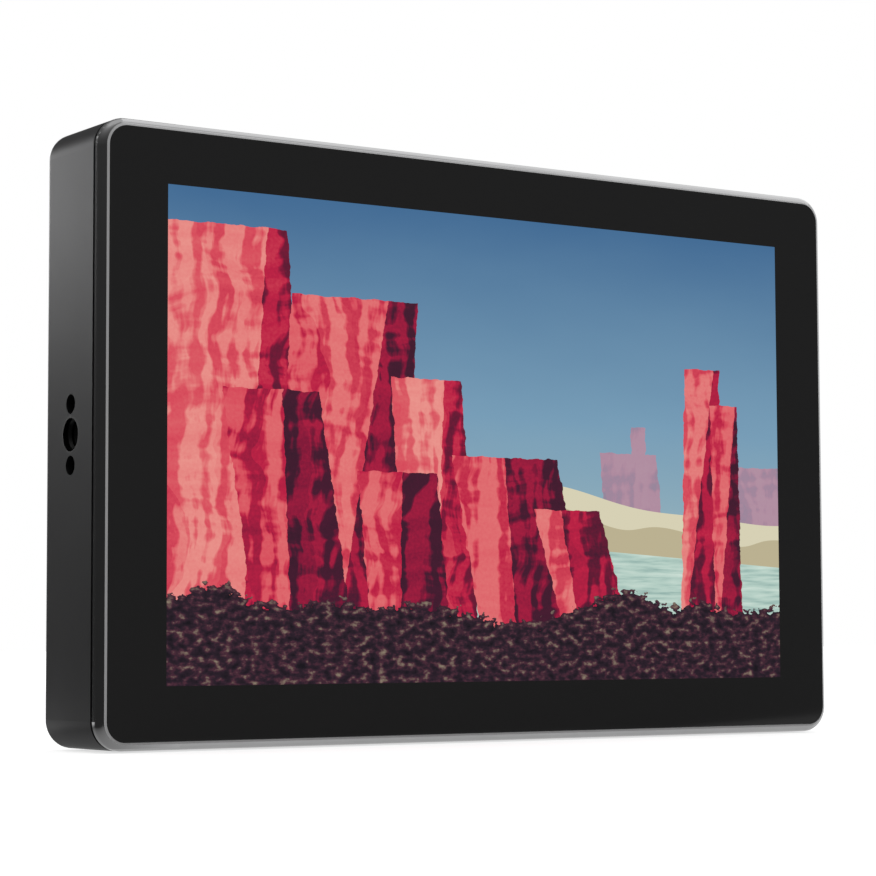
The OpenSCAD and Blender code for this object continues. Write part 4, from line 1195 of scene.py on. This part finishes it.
@dataclass
class Studio:
    """Camera, pale floor, white surroundings, softboxes and dark cards, in metres and degrees.

    Each card has the angles where it starts and ends and how high it hangs; 0 stands for a card with its foot on the
    floor, which begins at card_reach from the middle. The kicker is a white patch of that foot, at the housing's rear
    left corner.
    """

    camera_place: Point = (-0.31191, -0.45161, 0.020535)
    yaw: float = 34.126
    pitch: float = 4.309
    roll: float = -0.222
    lens: float = 109.40
    floor_half: float = 4.0
    floor_drop: float = 0.0003
    floor_fade: tuple[float, float] = (0.3, 1.1)
    floor_glow: tuple[float, float] = (0.66, 0.4)
    ambient: float = 0.7
    card_steps: int = 40
    card_radius: float = 0.95
    card_lift: float = 0.0005
    card_top: float = 2.5
    card_reach: tuple[float, float] = (0.072, 0.018)
    front_card: tuple[float, float, float] = (115.0, 330.0, 0.0)
    back_card: tuple[float, float, float] = (62.0, 112.0, 0.33)
    foot_fade: float = 0.03
    kicker: tuple[float, float] = (-0.105, 0.045)
    kicker_fade: tuple[float, float] = (0.02, 0.036)
    fade_start: float = 0.05
    fade_power: float = 1.5
    lamps: tuple[Lamp, ...] = (
        Lamp("top_box", (0.38, -0.02, 0.62), (0.0, 0.0, 0.06), 0.75, 0.6, 0.6),
        Lamp("side_box", (-0.152, 0.355, 0.1815), (-0.09, 0.01, 0.1), 0.12, 0.09, 11.3),
    )

    def place_camera(self) -> None:
        """Puts the camera where the photograph was taken from."""
        yaw, pitch, roll = (math.radians(angle) for angle in (self.yaw, self.pitch, self.roll))
        ahead = Vector((math.sin(yaw) * math.cos(pitch), math.cos(yaw) * math.cos(pitch), math.sin(pitch)))
        level = Vector((math.cos(yaw), -math.sin(yaw), 0))
        upright = level.cross(ahead)
        right = level * math.cos(roll) + upright * math.sin(roll)
        top = upright * math.cos(roll) - level * math.sin(roll)
        data = bpy.data.cameras.new("camera")
        data.sensor_fit = "HORIZONTAL"
        data.sensor_width = 36
        data.lens = self.lens
        data.clip_start = 0.01
        data.clip_end = 50
        camera = into_scene("camera", data)
        turn = Matrix((right, top, -ahead)).transposed().to_4x4()
        camera.matrix_world = Matrix.Translation(self.camera_place) @ turn
        bpy.context.scene.camera = camera

    def surround(self) -> None:
        """White surroundings to look at, and a lower even light from them."""
        world = bpy.data.worlds.new("surroundings")
        bpy.context.scene.world = world
        world.use_nodes = True
        tree = Tree(world.node_tree)
        level = tree.add("ShaderNodeMapRange", {"Value": tree.seen(), "To Min": self.ambient, "To Max": 1.0})
        light = tree.add("ShaderNodeBackground", {"Color": WHITE, "Strength": level})
        tree.add("ShaderNodeOutputWorld", {"Surface": light})

    def sheet(self, name: str, points: list[Point], faces: list[tuple[int, ...]], graph: Graph) -> bpy.types.Object:
        """Adds a painted surface.

        Args:
            name: Its name.
            points: Its points in metres.
            faces: Numbers of the points round each face.
            graph: The graph of its paint.

        Returns:
            The surface.
        """
        mesh = bpy.data.meshes.new(name)
        mesh.from_pydata(points, [], faces)
        mesh.materials.append(graph.material)
        return into_scene(name, mesh)

    def lay_floor(self) -> None:
        """A pale floor that looks white, keeps a soft shadow and lets a view from below through."""
        graph = Graph("floor_paint")
        x, y, _ = graph.axes()
        start, end = (edge / MM for edge in self.floor_fade)
        away = (x * x + y * y).root().between(start, end)
        glow, gain = self.floor_glow
        graph.set(
            Base_Color=graph.mix(graph.noise(900, 2), grey(205), grey(209)),
            Roughness=0.9,
            Specular_IOR_Level=0.0,
            Emission_Color=WHITE,
            Emission_Strength=graph.seen() * (away * gain + glow),
            Alpha=1 - Field(graph, graph.add("ShaderNodeNewGeometry").outputs["Backfacing"]),
        )
        half, low = self.floor_half, -self.floor_drop
        corners = [(-half, -half, low), (half, -half, low), (half, half, low), (-half, half, low)]
        floor = self.sheet("floor", corners, [(0, 1, 2, 3)], graph)

    def card_paint(self) -> Graph:
        """Dark felt that turns white upwards, close to the part and at the kicker."""
        graph = Graph("card_felt")
        felt = graph.noise(300, 3)
        x, y, z = graph.axes()
        reach_x, reach_y = (reach / MM for reach in self.card_reach)
        near = 1 - (abs(x) - reach_x).most(abs(y) - reach_y).between(0, self.foot_fade / MM)
        kick_x, kick_y = x - self.kicker[0] / MM, y - self.kicker[1] / MM
        start, end = (edge / MM for edge in self.kicker_fade)
        kick = 1 - (kick_x * kick_x + kick_y * kick_y + z * z).root().between(start, end)
        high = z.between(self.fade_start / MM, self.card_top / MM)
        pale = near + kick + high**self.fade_power
        graph.set(
            Base_Color=graph.mix(felt, grey(14), grey(22)),
            Roughness=1.0,
            Specular_IOR_Level=0.0,
            Emission_Color=graph.mix(pale.between(0, 1), graph.mix(felt, grey(56), grey(64)), WHITE),
            Emission_Strength=1.0,
        )
        return graph

    def stand_card(self) -> None:
        """Dark cards that only mirrors show: one round the camera's side from its foot on the floor, one behind."""
        points, faces = [], []
        for start, end, low in (self.front_card, self.back_card):
            for i in range(self.card_steps + 1):
                angle = math.radians(start + (end - start) * i / self.card_steps)
                across, deep = math.cos(angle), math.sin(angle)
                rows = [(self.card_radius, low or self.card_lift), (self.card_radius, self.card_top)]
                if not low:
                    foot = min(reach / max(abs(part), TINY) for reach, part in zip(self.card_reach, (across, deep)))
                    rows.insert(0, (foot, self.card_lift))
                points += [(across * radius, deep * radius, height) for radius, height in rows]
                if i:
                    here = len(points) - len(rows)
                    last = here - len(rows)
                    faces += [(last + k, here + k, here + k + 1, last + k + 1) for k in range(len(rows) - 1)]
        card = self.sheet("dark_card", points, faces, self.card_paint())
        card.visible_camera = card.visible_diffuse = card.visible_shadow = card.visible_transmission = False

    def build(self) -> None:
        """Builds the whole studio."""
        bpy.context.scene.view_settings.view_transform = "Standard"
        self.place_camera()
        self.surround()
        self.lay_floor()
        self.stand_card()
        for lamp in self.lamps:
            lamp.hang()


def main() -> None:
    """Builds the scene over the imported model."""
    logging.basicConfig(level=logging.INFO, format="%(message)s")
    for thing in list(bpy.data.objects):
        bpy.data.objects.remove(thing)
    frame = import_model()
    Studio().build()
    shop = Workshop(frame["nodes"])
    shop.dress_nodes()
    for part in (TripodThreads(), SocketScrews(), LatchSprings(), PortContacts(), DustMesh()):
        part.build(shop)


if __name__ == "__main__":
    main()
